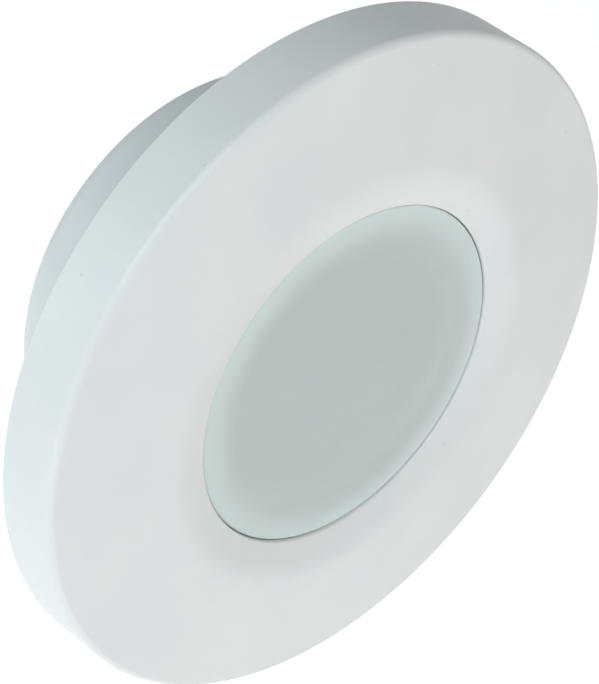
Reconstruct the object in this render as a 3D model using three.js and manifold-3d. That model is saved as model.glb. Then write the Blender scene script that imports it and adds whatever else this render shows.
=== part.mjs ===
// A flush underwater light for a pool wall: a halogen capsule in a sealed cup behind a
// frosted glass lens, covered by a white face disc that pushes on over the flange.
// Millimetres. +Z is up and Y is the lamp's axis: the wall's face is the plane y = 0,
// the light shines towards -Y and the cup and cable gland lie in the wall, towards +Y.
import * as THREE from "three";
import { mergeVertices } from "three/addons/utils/BufferGeometryUtils.js";
import Module from "manifold-3d";

const wasm = await Module();
wasm.setup();

// ---- driving dimensions; "front" is the side towards the pool ----
const gap = 0.3; // kept between mouldings that rest on each other
const hair = 0.1; // kept between a seal or a screw's head and what it is pressed on
const overrun = 1; // how far a cutting shape runs past what it cuts
const fineSegments = 40;
const ringSegments = 36;
const glandSegments = 20;
const smallSegments = 12;
const tinySegments = 8;

const fixingCircle = 69; // radius of the wall screws and of the trim clips
const clampCircle = 56.5; // radius of the lens clamp's screws
const clampAngles = degrees(6, 30);
const clipAngles = degrees(4, 45);
const wallAngles = degrees(4, 0);
const ribAngles = [15, 75, 105, 165, 195, 255, 285, 345];

const face = {
  radius: 82.5, // at the wall
  depth: 15.2, // from the wall to the front corner
  wall: 2.8,
  draft: 0.5, // the rim is this much smaller at its front corner
  corner: 2.5,
  slope: 0.7, // how far the corner's round stands in front of its middle
  crown: 50, // radius of the ring where the face is highest
  crownRise: 3.2, // how far that ring stands in front of the corner
  dish: 2.2, // how far the face dips from the crown to the opening
  opening: 42.4,
  lip: 1.2, // thickness at the opening
};
const stud = { foot: 3.2, neck: 1.6, head: 2.3, shoulder: 2.1 };
const glass = { step: 41.95, flange: 45.8, thickness: 7, flangeDepth: 3.5, bevel: 0.9, sunk: 0.6 };
const gasket = { outer: 47.6, mouth: 43, seal: 35, lip: 1.1 };
const clamp = { thickness: 1.5, step: 3.6, inner: 43.2, outer: 62, hole: 2.25 };
const clampScrew = { head: 3.8, headHeight: 2.2, shank: 1.95, length: 7.5 };
const insert = { bore: 2.05, outer: 2.9, depth: 6, hole: 3.05, holeDepth: 7.5 };
const body = {
  flange: 77,
  flangeThickness: 3,
  pocketWall: 3.1,
  seatRadius: 37.5,
  seatThickness: 3.4,
  rebate: 1.2, // the step in the seat that takes the reflector's rim
  boss: 4.5,
  spigotEnd: 4,
  spigotWall: 2.6,
  wallHole: 2.6,
};
const rib = { length: 24.5, middle: 62.5, height: 3, width: 1.8 };
const web = { length: 4, inwards: 4.7, width: 2.4 };
const foam = { thickness: 1.3, margin: 1, clearance: 3, hole: 3.2 };
const clip = { strip: 0.6, height: 7, width: 8, mouth: 3.7, waist: 2.8, belly: 3.6, foot: 3.2 };
const clipScrew = { head: 2.1, headHeight: 1, shank: 1.2, length: 3.4, hole: 1.35 };
const cup = { radius: 52.4, depth: 36.5, wall: 3, corner: 4, well: 18.5, wellDepth: 9.5, round: 2 };
const post = { spacing: 24, radius: 4, hole: 1.3 };
const bowl = { mouth: 34.5, neck: 8.8, neckPlane: 17, neckLength: 3, sheet: 0.9, rim: 41, steps: 6 };
const capsule = { radius: 6, tip: -7.5, pip: 1.6, pipRadius: 1.4, pinchPlane: 15.5, pinch: [11.6, 4.4] };
const pin = { spacing: 3.175, radius: 0.6, length: 7.5 };
const contact = { inner: 0.75, outer: 1.3, front: 1.5, back: 9 };
const bracket = { plane: 26.6, thickness: 1, half: 29, height: 14, window: [12.6, 5.4], hole: 1.5 };
const socket = { radius: 8, depth: 11.5, earDepth: 5, earHeight: 8, earSpacing: 11, earReach: 3 };
const socketHole = { pin: 1.5, lead: 1.35, ear: 1.3 };
const bracketScrew = { head: 2.6, headHeight: 1.8, shank: 1.15, length: 5.5 };
const socketScrew = { head: 2.4, headHeight: 1.6, shank: 1.1, length: 6 };
const terminal = {
  up: 32, // height of the block's middle above the lamp's axis
  front: 19.5,
  width: 22,
  height: 17,
  pole: 5.5,
  screwUp: 4.5,
  tunnel: 1.8,
  well: 1.9,
  fixingHole: 1.5,
};
const terminalScrew = { radius: 1.6, sunk: 1 };
const lead = { radius: 1.1, y: 28.5, sides: 4, steps: 16 };
const gland = {
  drop: 32, // how far the gland sits below the lamp's axis
  hole: 10.2,
  thread: 9.9,
  bore: 5.2,
  mouth: 8.2,
  seat: 7.6,
  acrossFlats: 25,
  washer: 1.7,
  washerRadius: 12.3,
  collar: 4.5,
  inside: 6.5, // how far the body reaches into the cup
  reach: 7.5, // how far its thread stands behind the collar
  locknut: [4.6, 0.2],
};
const bush = { bore: 3.6, front: 7.1, back: 7.6, start: 2.2, end: 1.6 };
const nut = { radius: 12.9, acrossFlats: 24, mouth: 5.4, clearance: 0.25, start: 1.2, dome: 4.5, cap: 3.5 };

// ---- planes across the lamp's axis, worked out from the front of the disc inwards ----
const cornerPlane = -gap - face.depth;
const crownPlane = cornerPlane - face.crownRise;
const lipPlane = crownPlane + face.dish;
const clampFront = lipPlane + face.lip + gap; // the clamp ring's inner lip
const screwPlane = clampFront + clamp.step; // the clamp ring's face under the screw heads
const glassFront = lipPlane + glass.sunk;
const glassBack = glassFront + glass.thickness;
const glassFlange = glassBack - glass.flangeDepth;
const seatPlane = glassBack + gasket.lip + hair;
const bossPlane = screwPlane + clamp.thickness + hair;
const flangeBack = -foam.thickness - gap;
const flangeFront = flangeBack - body.flangeThickness;
const clipBase = flangeFront - hair;
const clipFront = clipBase - clip.height;
const studTip = flangeFront - clip.height * 0.4;
const cupFloor = cup.depth - cup.wall;
const bracketBack = bracket.plane + bracket.thickness;
const socketFront = bracketBack + gap;
const socketBack = socketFront + socket.depth;
const terminalBack = cupFloor - gap;
const collarFront = cup.depth + gland.washer;
const collarBack = collarFront + gland.collar;
const glandEnd = collarBack + gland.reach;
const bushEnd = glandEnd + bush.end;

const root = new THREE.Group();

// ---- materials ----
const paint = (color, roughness, metalness = 0) =>
  new THREE.MeshStandardMaterial({ color, roughness, metalness });
const materials = {
  abs: paint(0xe9eaea, 0.42),
  glass: paint(0xc3d6cf, 0.35),
  silicone: paint(0xdfe2df, 0.7),
  steel: paint(0xb9bcbe, 0.3, 1),
  brass: paint(0xc9a35a, 0.35, 1),
  foam: paint(0x3a3c3e, 0.9),
  aluminium: paint(0xc8cccd, 0.22, 1),
  quartz: paint(0xeef2f3, 0.05),
  steatite: paint(0xe4ddcc, 0.8),
  sleeve: paint(0xb2523f, 0.55),
  nylon: paint(0xd9dad8, 0.5),
  rubber: paint(0x2c2d2e, 0.8),
};

// ---- making solids ----
function solidOf(geometry) {
  const bare = geometry.index ? geometry.toNonIndexed() : geometry.clone();
  bare.deleteAttribute("normal");
  bare.deleteAttribute("uv");
  const merged = mergeVertices(bare, 1e-3);
  return new wasm.Manifold(
    new wasm.Mesh({
      numProp: 3,
      vertProperties: merged.attributes.position.array,
      triVerts: new Uint32Array(merged.index.array),
    }),
  );
}
function geometryOf(solid) {
  const mesh = solid.getMesh();
  const positions = new THREE.BufferAttribute(mesh.vertProperties, 3);
  const geometry = new THREE.BufferGeometry().setAttribute("position", positions);
  geometry.setIndex(new THREE.BufferAttribute(mesh.triVerts, 1));
  geometry.computeVertexNormals();
  return geometry;
}
// A base shape with others joined on and others cut away, all given as geometries.
function shaped(base, additions, cutters) {
  const whole = additions.reduce((solid, next) => solid.add(solidOf(next)), solidOf(base));
  const left = cutters.reduce((solid, next) => solid.subtract(solidOf(next)), whole);
  return geometryOf(left);
}

// A solid of revolution about Y. The outline runs [radius, y], front edge first, outwards.
function turned(outline, segments) {
  const onAxis = outline[0][0] === 0 && outline.at(-1)[0] === 0;
  const points = onAxis ? outline : [...outline, outline[0]];
  const profile = points.map(([radius, y]) => new THREE.Vector2(radius, y));
  return new THREE.LatheGeometry(profile, segments);
}
function ring(inner, outer, front, back, segments) {
  return turned(
    [
      [inner, front],
      [outer, front],
      [outer, back],
      [inner, back],
    ],
    segments,
  );
}
function rod(radius, front, back, segments) {
  const middle = (front + back) / 2;
  return new THREE.CylinderGeometry(radius, radius, back - front, segments).translate(0, middle, 0);
}
function block(width, front, back, height) {
  return new THREE.BoxGeometry(width, back - front, height).translate(0, (front + back) / 2, 0);
}
// A six-sided bar along Y.
function hexBar(acrossFlats, front, back) {
  const corner = acrossFlats / Math.sqrt(3);
  const corners = degrees(6, 0).map((angle) => {
    const turn = THREE.MathUtils.degToRad(angle);
    return new THREE.Vector2(corner * Math.cos(turn), corner * Math.sin(turn));
  });
  return new THREE.ExtrudeGeometry(new THREE.Shape(corners), {
    depth: back - front,
    bevelEnabled: false,
  })
    .rotateX(Math.PI / 2)
    .translate(0, back, 0);
}
// Points of an arc in an outline, angles in degrees from outwards (0) towards the wall (90).
function arc(radius, y, size, from, to, steps) {
  return Array.from({ length: steps + 1 }, (_, i) => {
    const angle = THREE.MathUtils.degToRad(from + ((to - from) * i) / steps);
    return [radius + size * Math.cos(angle), y + size * Math.sin(angle)];
  });
}
// A screw with a low round head towards the front, its seat on the plane given.
function screw(size, seat) {
  return turned(
    [
      [0, seat - size.headHeight],
      [size.head * 0.7, seat - size.headHeight],
      [size.head, seat - size.headHeight / 2],
      [size.head, seat],
      [size.shank, seat],
      [size.shank, seat + size.length],
      [0, seat + size.length],
    ],
    tinySegments,
  );
}
function degrees(count, first) {
  return Array.from({ length: count }, (_, i) => first + (i * 360) / count);
}
// Moves a copy out along X by a radius, then round the lamp's axis by an angle.
function placed(geometry, radius, angle) {
  const turn = -THREE.MathUtils.degToRad(angle);
  return geometry.clone().translate(radius, 0, 0).rotateY(turn);
}
function allRound(geometry, radius, angles) {
  return angles.map((angle) => placed(geometry, radius, angle));
}
// The same shape to the left and to the right of the lamp's axis.
function pair(geometry, offset, up = 0) {
  return [-1, 1].map((side) => geometry.clone().translate(side * offset, 0, up));
}
function addPiece(name, geometry, material) {
  const mesh = new THREE.Mesh(geometry, material);
  mesh.name = name;
  root.add(mesh);
}
function addPieces(name, geometries, material) {
  geometries.forEach((geometry, i) => addPiece(`${name}_${i + 1}`, geometry, material));
}

// ---- face disc: a deep rim, a conical face, a dished ring round the opening, four studs ----
function faceDisc() {
  const cornerCentre = face.radius - face.draft - face.corner;
  const cornerY = cornerPlane - face.slope + face.corner;
  const inside = face.radius - face.wall;
  const crownFlat = 1;
  const shell = turned(
    [
      [face.opening, lipPlane],
      [face.crown - crownFlat, crownPlane + hair],
      [face.crown + crownFlat, crownPlane],
      ...arc(cornerCentre, cornerY, face.corner, -84, 0, 5),
      [face.radius, -gap],
      [inside, -gap],
      [inside - face.draft, cornerY],
      [inside - 2, cornerY - 0.4],
      [face.crown, crownPlane + face.wall],
      [face.opening, lipPlane + face.lip],
    ],
    fineSegments,
  );
  const foot = cornerPlane + 0.4; // inside the face's thickness
  const oneStud = turned(
    [
      [0, foot],
      [stud.foot, foot],
      [stud.foot, clipFront - 0.5],
      [stud.neck, clipFront + 0.3],
      [stud.neck, studTip - 2.8],
      [stud.head, studTip - 2],
      [stud.shoulder, studTip - 0.7],
      [0, studTip],
    ],
    tinySegments,
  );
  return shaped(shell, allRound(oneStud, fixingCircle, clipAngles), []);
}
addPiece("face_disc", faceDisc(), materials.abs);

// ---- lens: stepped glass, its gasket and the ring that clamps it ----
function lensGlass() {
  return turned(
    [
      [0, glassFront],
      [glass.step - glass.bevel, glassFront],
      [glass.step, glassFront + glass.bevel],
      [glass.step, glassFlange],
      [glass.flange, glassFlange],
      [glass.flange, glassBack],
      [0, glassBack],
    ],
    fineSegments,
  );
}
addPiece("lens_glass", lensGlass(), materials.glass);

// The gasket wraps the glass's flange, and its back lip reaches in under the glass.
function lensGasket() {
  const groove = glass.flange + gap;
  return turned(
    [
      [gasket.mouth, glassFlange - gasket.lip + hair],
      [gasket.outer, glassFlange - gasket.lip + hair],
      [gasket.outer, glassBack + gasket.lip],
      [gasket.seal, glassBack + gasket.lip],
      [gasket.seal, glassBack + hair],
      [groove, glassBack + hair],
      [groove, glassFlange - hair],
      [gasket.mouth, glassFlange - hair],
    ],
    fineSegments,
  );
}
addPiece("lens_gasket", lensGasket(), materials.silicone);

function clampRing() {
  const wall = gasket.outer + gap;
  const pressed = turned(
    [
      [clamp.inner, clampFront],
      [wall + clamp.thickness, clampFront],
      [wall + clamp.thickness, screwPlane],
      [clamp.outer, screwPlane],
      [clamp.outer, screwPlane + clamp.thickness],
      [wall, screwPlane + clamp.thickness],
      [wall, clampFront + clamp.thickness],
      [clamp.inner, clampFront + clamp.thickness],
    ],
    ringSegments,
  );
  const hole = rod(clamp.hole, clampFront, bossPlane, tinySegments);
  return shaped(pressed, [], allRound(hole, clampCircle, clampAngles));
}
addPiece("lens_clamp_ring", clampRing(), materials.steel);

const clampScrewShape = screw(clampScrew, screwPlane - hair);
addPieces("clamp_screw", allRound(clampScrewShape, clampCircle, clampAngles), materials.steel);
const insertShape = ring(
  insert.bore,
  insert.outer,
  bossPlane + hair,
  bossPlane + insert.depth,
  tinySegments,
);
addPieces("threaded_insert", allRound(insertShape, clampCircle, clampAngles), materials.brass);

// ---- front body: the flange on the wall, the lens pocket and the clamp's bosses ----
function frontBody() {
  const pocket = gasket.outer + gap;
  const spigot = cup.radius - cup.wall - gap;
  const spigotInside = spigot - body.spigotWall;
  const rebate = bowl.rim + gap;
  const moulding = turned(
    [
      [body.seatRadius, seatPlane + body.rebate],
      [rebate, seatPlane + body.rebate],
      [rebate, seatPlane],
      [pocket, seatPlane],
      [pocket, bossPlane],
      [pocket + body.pocketWall, bossPlane],
      [pocket + body.pocketWall, flangeFront],
      [body.flange, flangeFront],
      [body.flange, flangeBack],
      [spigot, flangeBack],
      [spigot, body.spigotEnd],
      [spigotInside, body.spigotEnd],
      [spigotInside, seatPlane + body.seatThickness],
      [body.seatRadius, seatPlane + body.seatThickness],
    ],
    fineSegments,
  );
  const boss = rod(body.boss, bossPlane, flangeFront + overrun, smallSegments);
  const bossWeb = block(web.length, bossPlane, flangeFront + overrun, web.width);
  const flangeRib = block(rib.length, flangeFront - rib.height, flangeFront + overrun, rib.width);
  const insertHole = rod(insert.hole, bossPlane - overrun, bossPlane + insert.holeDepth, tinySegments);
  const wallHole = rod(body.wallHole, flangeFront - overrun, flangeBack + overrun, smallSegments);
  const clipHole = rod(clipScrew.hole, flangeFront - overrun, flangeBack + overrun, tinySegments);
  return shaped(
    moulding,
    [
      ...allRound(boss, clampCircle, clampAngles),
      ...allRound(bossWeb, clampCircle - web.inwards, clampAngles),
      ...allRound(flangeRib, rib.middle, ribAngles),
    ],
    [
      ...allRound(insertHole, clampCircle, clampAngles),
      ...allRound(wallHole, fixingCircle, wallAngles),
      ...allRound(clipHole, fixingCircle, clipAngles),
    ],
  );
}
addPiece("front_body", frontBody(), materials.abs);

function wallGasket() {
  const inner = cup.radius + foam.clearance;
  const outer = body.flange - foam.margin;
  const hole = rod(foam.hole, -foam.thickness - overrun, overrun, tinySegments);
  const sheet = ring(inner, outer, -foam.thickness, 0, ringSegments);
  return shaped(sheet, [], allRound(hole, fixingCircle, wallAngles));
}
addPiece("wall_gasket", wallGasket(), materials.foam);

// ---- trim clips: U-shaped spring strips that grip the face disc's studs ----
function trimClip() {
  const half = clip.strip / 2;
  // One arm's middle line from mouth to foot, as [distance from the stud's middle, y].
  const arm = [
    [clip.mouth, clipFront],
    [clip.waist, clipFront + 1.2],
    [clip.belly, clipFront + 4],
  ];
  const outside = [...arm.map(([u, y]) => [u + half, y]), [clip.foot + hair, clipBase]];
  const inside = [...arm.map(([u, y]) => [u - half, y]), [clip.foot - half, clipBase - clip.strip]];
  const right = [...inside.reverse(), ...outside];
  const left = right.map(([u, y]) => [-u, y]).reverse();
  const corners = [...right, ...left].map(([u, y]) => new THREE.Vector2(u, y));
  const strip = new THREE.ExtrudeGeometry(new THREE.Shape(corners), {
    depth: clip.width,
    bevelEnabled: false,
  })
    .translate(0, 0, -clip.width / 2)
    .rotateY(Math.PI / 2);
  const hole = rod(clipScrew.hole, clipBase - 2, clipBase + overrun, tinySegments);
  return shaped(strip, [], [hole]);
}
addPieces("trim_clip", allRound(trimClip(), fixingCircle, clipAngles), materials.steel);
const clipScrewShape = screw(clipScrew, clipBase - clip.strip - hair);
addPieces("clip_screw", allRound(clipScrewShape, fixingCircle, clipAngles), materials.steel);

// ---- rear cup, with a well for the lamp socket and a hole for the cable gland ----
function rearCup() {
  const inside = cup.radius - cup.wall;
  const wellBack = cup.depth + cup.wellDepth;
  const wellInside = cup.well - cup.wall;
  const mouth = flangeBack + gap;
  const shell = turned(
    [
      [0, wellBack - cup.wall],
      [wellInside, wellBack - cup.wall],
      [wellInside, cupFloor],
      ...arc(inside - cup.round, cupFloor - cup.round, cup.round, 90, 0, 2),
      [inside, mouth],
      [cup.radius, mouth],
      ...arc(cup.radius - cup.corner, cup.depth - cup.corner, cup.corner, 0, 90, 4),
      [cup.well, cup.depth],
      ...arc(cup.well - cup.round, wellBack - cup.round, cup.round, 0, 90, 2),
      [0, wellBack],
    ],
    fineSegments,
  );
  const bracketPost = rod(post.radius, bracketBack + hair, cupFloor + overrun, tinySegments);
  const postHole = rod(post.hole, bracket.plane, cupFloor - overrun, tinySegments);
  const blockHole = rod(post.hole, cupFloor - overrun, cupFloor + 2, tinySegments);
  const glandHole = rod(gland.hole, cupFloor - overrun, cup.depth + overrun, glandSegments);
  return shaped(shell, pair(bracketPost, post.spacing), [
    ...pair(postHole, post.spacing),
    blockHole.translate(0, 0, terminal.up),
    glandHole.translate(0, 0, -gland.drop),
  ]);
}
addPiece("rear_cup", rearCup(), materials.abs);

// ---- reflector: a parabola from the neck to the mouth, with a flat rim ----
function reflector() {
  const rimPlane = seatPlane + hair;
  const length = bowl.neckPlane - rimPlane - bowl.sheet;
  const curve = (thickness) =>
    Array.from({ length: bowl.steps + 1 }, (_, i) => {
      const radius = bowl.neck + ((bowl.mouth - bowl.neck) * i) / bowl.steps;
      const rise = (radius ** 2 - bowl.neck ** 2) / (bowl.mouth ** 2 - bowl.neck ** 2);
      return [radius + thickness, bowl.neckPlane - length * rise];
    });
  const neckEnd = bowl.neckPlane + bowl.neckLength;
  return turned(
    [
      [bowl.mouth, rimPlane],
      [bowl.rim, rimPlane],
      [bowl.rim, rimPlane + bowl.sheet],
      ...curve(bowl.sheet).reverse(),
      [bowl.neck + bowl.sheet, neckEnd],
      [bowl.neck, neckEnd],
      ...curve(0).slice(0, -1),
    ],
    ringSegments,
  );
}
addPiece("reflector", reflector(), materials.aluminium);

// ---- halogen capsule, its pins, and the socket on its bracket ----
function lampCapsule() {
  const dome = capsule.tip + capsule.pip + capsule.radius;
  const bulb = turned(
    [
      [0, capsule.tip],
      [1, capsule.tip + 0.2],
      [capsule.pipRadius, capsule.tip + capsule.pip],
      ...arc(0, dome, capsule.radius, -70, 0, 4),
      [capsule.radius, capsule.pinchPlane - 2],
      [capsule.radius - 1.5, capsule.pinchPlane + overrun],
      [0, capsule.pinchPlane + overrun],
    ],
    smallSegments,
  );
  const [width, thickness] = capsule.pinch;
  return shaped(bulb, [block(width, capsule.pinchPlane, bracketBack, thickness)], []);
}
addPiece("lamp_capsule", lampCapsule(), materials.quartz);

const pinFront = bracketBack + hair;
const pinShape = rod(pin.radius, pinFront, pinFront + pin.length, tinySegments);
addPieces("lamp_pin", pair(pinShape, pin.spacing), materials.steel);
const contactShape = ring(
  contact.inner,
  contact.outer,
  socketFront + contact.front,
  socketFront + contact.back,
  tinySegments,
);
addPieces("socket_contact", pair(contactShape, pin.spacing), materials.brass);

function lampSocket() {
  const barrel = rod(socket.radius, socketFront, socketBack, glandSegments);
  const earsWidth = 2 * (socket.earSpacing + socket.earReach);
  const ears = block(earsWidth, socketFront, socketFront + socket.earDepth, socket.earHeight);
  const boreEnd = socketFront + contact.back + 0.5;
  const bore = rod(socketHole.pin, socketFront - overrun, boreEnd, tinySegments);
  const leadHole = rod(socketHole.lead, boreEnd - overrun, socketBack + overrun, tinySegments);
  const earBack = socketFront + socket.earDepth + overrun;
  const earHole = rod(socketHole.ear, socketFront - overrun, earBack, tinySegments);
  return shaped(
    barrel,
    [ears],
    [
      ...pair(bore, pin.spacing),
      ...pair(leadHole, pin.spacing),
      ...pair(earHole, socket.earSpacing),
    ],
  );
}
addPiece("lamp_socket", lampSocket(), materials.steatite);

function socketBracket() {
  const front = bracket.plane - overrun;
  const back = bracketBack + overrun;
  const [windowWidth, windowHeight] = bracket.window;
  const strip = block(2 * bracket.half, bracket.plane, bracketBack, bracket.height);
  const hole = rod(bracket.hole, front, back, tinySegments);
  return shaped(
    strip,
    [],
    [
      block(windowWidth, front, back, windowHeight),
      ...pair(hole, post.spacing),
      ...pair(hole, socket.earSpacing),
    ],
  );
}
addPiece("socket_bracket", socketBracket(), materials.steel);
const screwSeat = bracket.plane - hair;
addPieces("bracket_screw", pair(screw(bracketScrew, screwSeat), post.spacing), materials.steel);
addPieces("socket_screw", pair(screw(socketScrew, screwSeat), socket.earSpacing), materials.steel);

// ---- terminal block above the socket, its screws, and the two leads to it ----
function terminalBlock() {
  const base = block(terminal.width, terminal.front, terminalBack, terminal.height);
  const tunnelLength = terminal.height + 2 * overrun;
  const tunnel = new THREE.CylinderGeometry(
    terminal.tunnel,
    terminal.tunnel,
    tunnelLength,
    smallSegments,
  )
    .rotateX(Math.PI / 2)
    .translate(0, lead.y, 0);
  const front = terminal.front - overrun;
  const well = rod(terminal.well, front, lead.y - overrun, smallSegments);
  const fixingHole = rod(terminal.fixingHole, front, terminalBack + overrun, smallSegments);
  const cutters = [
    ...pair(tunnel, terminal.pole),
    ...pair(well, terminal.pole, -terminal.screwUp),
    ...pair(well, terminal.pole, terminal.screwUp),
    fixingHole,
  ];
  return shaped(base, [], cutters).translate(0, 0, terminal.up);
}
addPiece("terminal_block", terminalBlock(), materials.steatite);

const fixingScrew = { ...socketScrew, length: terminalBack - terminal.front + 1.8 };
const fixingScrewShape = screw(fixingScrew, terminal.front - hair).translate(0, 0, terminal.up);
addPiece("terminal_fixing_screw", fixingScrewShape, materials.steel);

const poleScrew = rod(
  terminalScrew.radius,
  terminal.front + terminalScrew.sunk,
  lead.y - 2,
  tinySegments,
);
addPieces(
  "terminal_screw",
  [
    ...pair(poleScrew, terminal.pole, terminal.up - terminal.screwUp),
    ...pair(poleScrew, terminal.pole, terminal.up + terminal.screwUp),
  ],
  materials.brass,
);

// Each lead leaves the back of the socket, turns up in the well and runs into the block.
function lampLead(side) {
  const route = [
    [pin.spacing, socketBack - 1.5, 0],
    [pin.spacing, socketBack + 0.4, 0.1],
    [3.3, socketBack + 1.8, 2],
    [3.5, socketBack + 1.7, 6],
    [3.8, socketBack - 0.5, 10.4],
    [4.2, 35.2, 12.2],
    [4.6, 31.4, 13.6],
    [5.2, 29.6, 17.5],
    [terminal.pole, lead.y, 21.5],
    [terminal.pole, lead.y, 26],
  ];
  const points = route.map(([x, y, z]) => new THREE.Vector3(side * x, y, z));
  const section = new THREE.Shape().absarc(0, 0, lead.radius, 0, Math.PI * 2);
  return new THREE.ExtrudeGeometry(section, {
    steps: lead.steps,
    curveSegments: lead.sides,
    extrudePath: new THREE.CatmullRomCurve3(points),
    bevelEnabled: false,
  });
}
addPieces("lamp_lead", [-1, 1].map(lampLead), materials.sleeve);

// ---- cable gland: body through the cup, washer, locknut, sealing bush and nut ----
const lowered = (geometry) => geometry.translate(0, 0, -gland.drop);
function glandBody() {
  const start = cupFloor - gland.inside;
  const neck = rod(gland.thread, start, glandEnd, glandSegments);
  const collar = hexBar(gland.acrossFlats, collarFront, collarBack);
  const bore = turned(
    [
      [0, start - overrun],
      [gland.bore, start - overrun],
      [gland.bore, collarFront],
      [gland.seat, collarFront + 1],
      [gland.mouth, glandEnd],
      [gland.mouth, glandEnd + overrun],
      [0, glandEnd + overrun],
    ],
    glandSegments,
  );
  return lowered(shaped(neck, [collar], [bore]));
}
addPiece("gland_body", glandBody(), materials.nylon);

const washer = ring(
  gland.thread + 2 * hair,
  gland.washerRadius,
  cup.depth + hair,
  collarFront - hair,
  glandSegments,
);
addPiece("gland_washer", lowered(washer), materials.rubber);

function glandLocknut() {
  const [front, back] = gland.locknut.map((distance) => cupFloor - distance);
  const thread = rod(gland.thread + 0.15, front - overrun, back + overrun, glandSegments);
  return lowered(shaped(hexBar(gland.acrossFlats, front, back), [], [thread]));
}
addPiece("gland_locknut", glandLocknut(), materials.nylon);

const bushShape = turned(
  [
    [bush.bore, collarFront + bush.start],
    [bush.front, collarFront + bush.start],
    [bush.back, glandEnd - 0.5],
    [bush.back, bushEnd],
    [bush.bore, bushEnd],
  ],
  glandSegments,
);
addPiece("gland_bush", lowered(bushShape), materials.rubber);

function glandNut() {
  const front = collarBack + nut.start;
  const shoulder = bushEnd + 2 * hair;
  const back = shoulder + nut.cap;
  const domed = turned(
    [
      [0, front],
      [nut.radius, front],
      [nut.radius, shoulder - 1],
      ...arc(nut.radius - nut.dome, shoulder - 1, nut.dome, 0, 90, 3),
      [0, back],
    ],
    glandSegments,
  );
  const flats = hexBar(nut.acrossFlats, front - overrun, back + overrun);
  const thread = rod(gland.thread + nut.clearance, front - overrun, shoulder, glandSegments);
  const mouth = rod(nut.mouth, shoulder - overrun, back + overrun, glandSegments);
  const outside = geometryOf(solidOf(domed).intersect(solidOf(flats)));
  return lowered(shaped(outside, [], [thread, mouth]));
}
addPiece("gland_nut", glandNut(), materials.nylon);

export default root;
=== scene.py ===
# The looks of a flush underwater pool light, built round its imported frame. Metres, +Z up; the
# light shines towards -Y and its cup and cable gland lie in the wall, towards +Y.
import math

import bmesh
import bpy
from mathutils import Matrix, Vector


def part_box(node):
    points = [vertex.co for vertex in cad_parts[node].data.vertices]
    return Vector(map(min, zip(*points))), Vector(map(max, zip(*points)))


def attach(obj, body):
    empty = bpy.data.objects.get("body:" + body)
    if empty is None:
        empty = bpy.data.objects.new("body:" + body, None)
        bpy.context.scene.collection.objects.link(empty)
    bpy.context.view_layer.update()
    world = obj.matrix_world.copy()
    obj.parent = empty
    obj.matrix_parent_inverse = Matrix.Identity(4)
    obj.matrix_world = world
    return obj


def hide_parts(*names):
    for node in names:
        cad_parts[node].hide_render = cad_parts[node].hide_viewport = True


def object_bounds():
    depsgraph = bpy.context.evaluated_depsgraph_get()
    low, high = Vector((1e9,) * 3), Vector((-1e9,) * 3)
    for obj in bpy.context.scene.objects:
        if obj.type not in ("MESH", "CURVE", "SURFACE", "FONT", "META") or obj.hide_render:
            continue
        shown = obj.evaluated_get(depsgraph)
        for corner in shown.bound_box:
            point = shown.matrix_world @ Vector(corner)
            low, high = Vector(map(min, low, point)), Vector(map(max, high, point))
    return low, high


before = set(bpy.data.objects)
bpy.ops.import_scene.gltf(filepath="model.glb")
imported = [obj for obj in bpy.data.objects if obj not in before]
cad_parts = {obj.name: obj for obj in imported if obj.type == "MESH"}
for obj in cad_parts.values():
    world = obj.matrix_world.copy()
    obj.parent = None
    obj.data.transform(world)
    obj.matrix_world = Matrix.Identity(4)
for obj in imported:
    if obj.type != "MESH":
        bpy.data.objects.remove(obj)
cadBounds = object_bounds()
mm = 0.001
turnSteps = 192  # round pieces you can see
smallTurnSteps = 48  # screws, studs and other small round pieces
print("frame loaded:", len(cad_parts), "CAD nodes")


# ---- camera, floor and light
cameraSetup = {
    "azimuth": -41.81,  # degrees, 0 looks along +Y
    "elevation": 39.36,
    "distance": 484 * mm,  # from the centre of the disc's front corner
    "aimSide": -10.7 * mm,  # where the middle of the view lies beside that centre
    "aimUp": 7.5 * mm,
    "cornerBehindFront": 3.25 * mm,
    "lens": 115.05,
    "sensor": 36,
}


def addObject(name, data):
    piece = bpy.data.objects.new(name, data)
    bpy.context.scene.collection.objects.link(piece)
    return piece


def addCamera():
    azimuth = math.radians(cameraSetup["azimuth"])
    elevation = math.radians(cameraSetup["elevation"])
    back = Vector((
        math.sin(azimuth) * math.cos(elevation),
        -math.cos(azimuth) * math.cos(elevation),
        math.sin(elevation),
    ))
    right = Vector((math.cos(azimuth), math.sin(azimuth), 0))
    up = back.cross(right)
    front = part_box("face_disc")[0].y
    centre = Vector((0, front + cameraSetup["cornerBehindFront"], 0))
    aim = centre + right * cameraSetup["aimSide"] + up * cameraSetup["aimUp"]
    place = Matrix((right, up, back)).transposed().to_4x4()
    place.translation = aim + back * cameraSetup["distance"]
    data = bpy.data.cameras.new("camera")
    data.sensor_fit = "VERTICAL"
    data.sensor_height = cameraSetup["sensor"]
    data.lens = cameraSetup["lens"]
    data.clip_start = 1 * mm
    camera = addObject("camera", data)
    camera.matrix_world = place
    bpy.context.scene.camera = camera


def hexColour(text):
    # sRGB hex to the linear values that the sockets take
    channels = [int(text[i:i + 2], 16) / 255 for i in (1, 3, 5)]
    linear = [c / 12.92 if c <= 0.04045 else ((c + 0.055) / 1.055) ** 2.4 for c in channels]
    return (*linear, 1.0)


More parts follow.
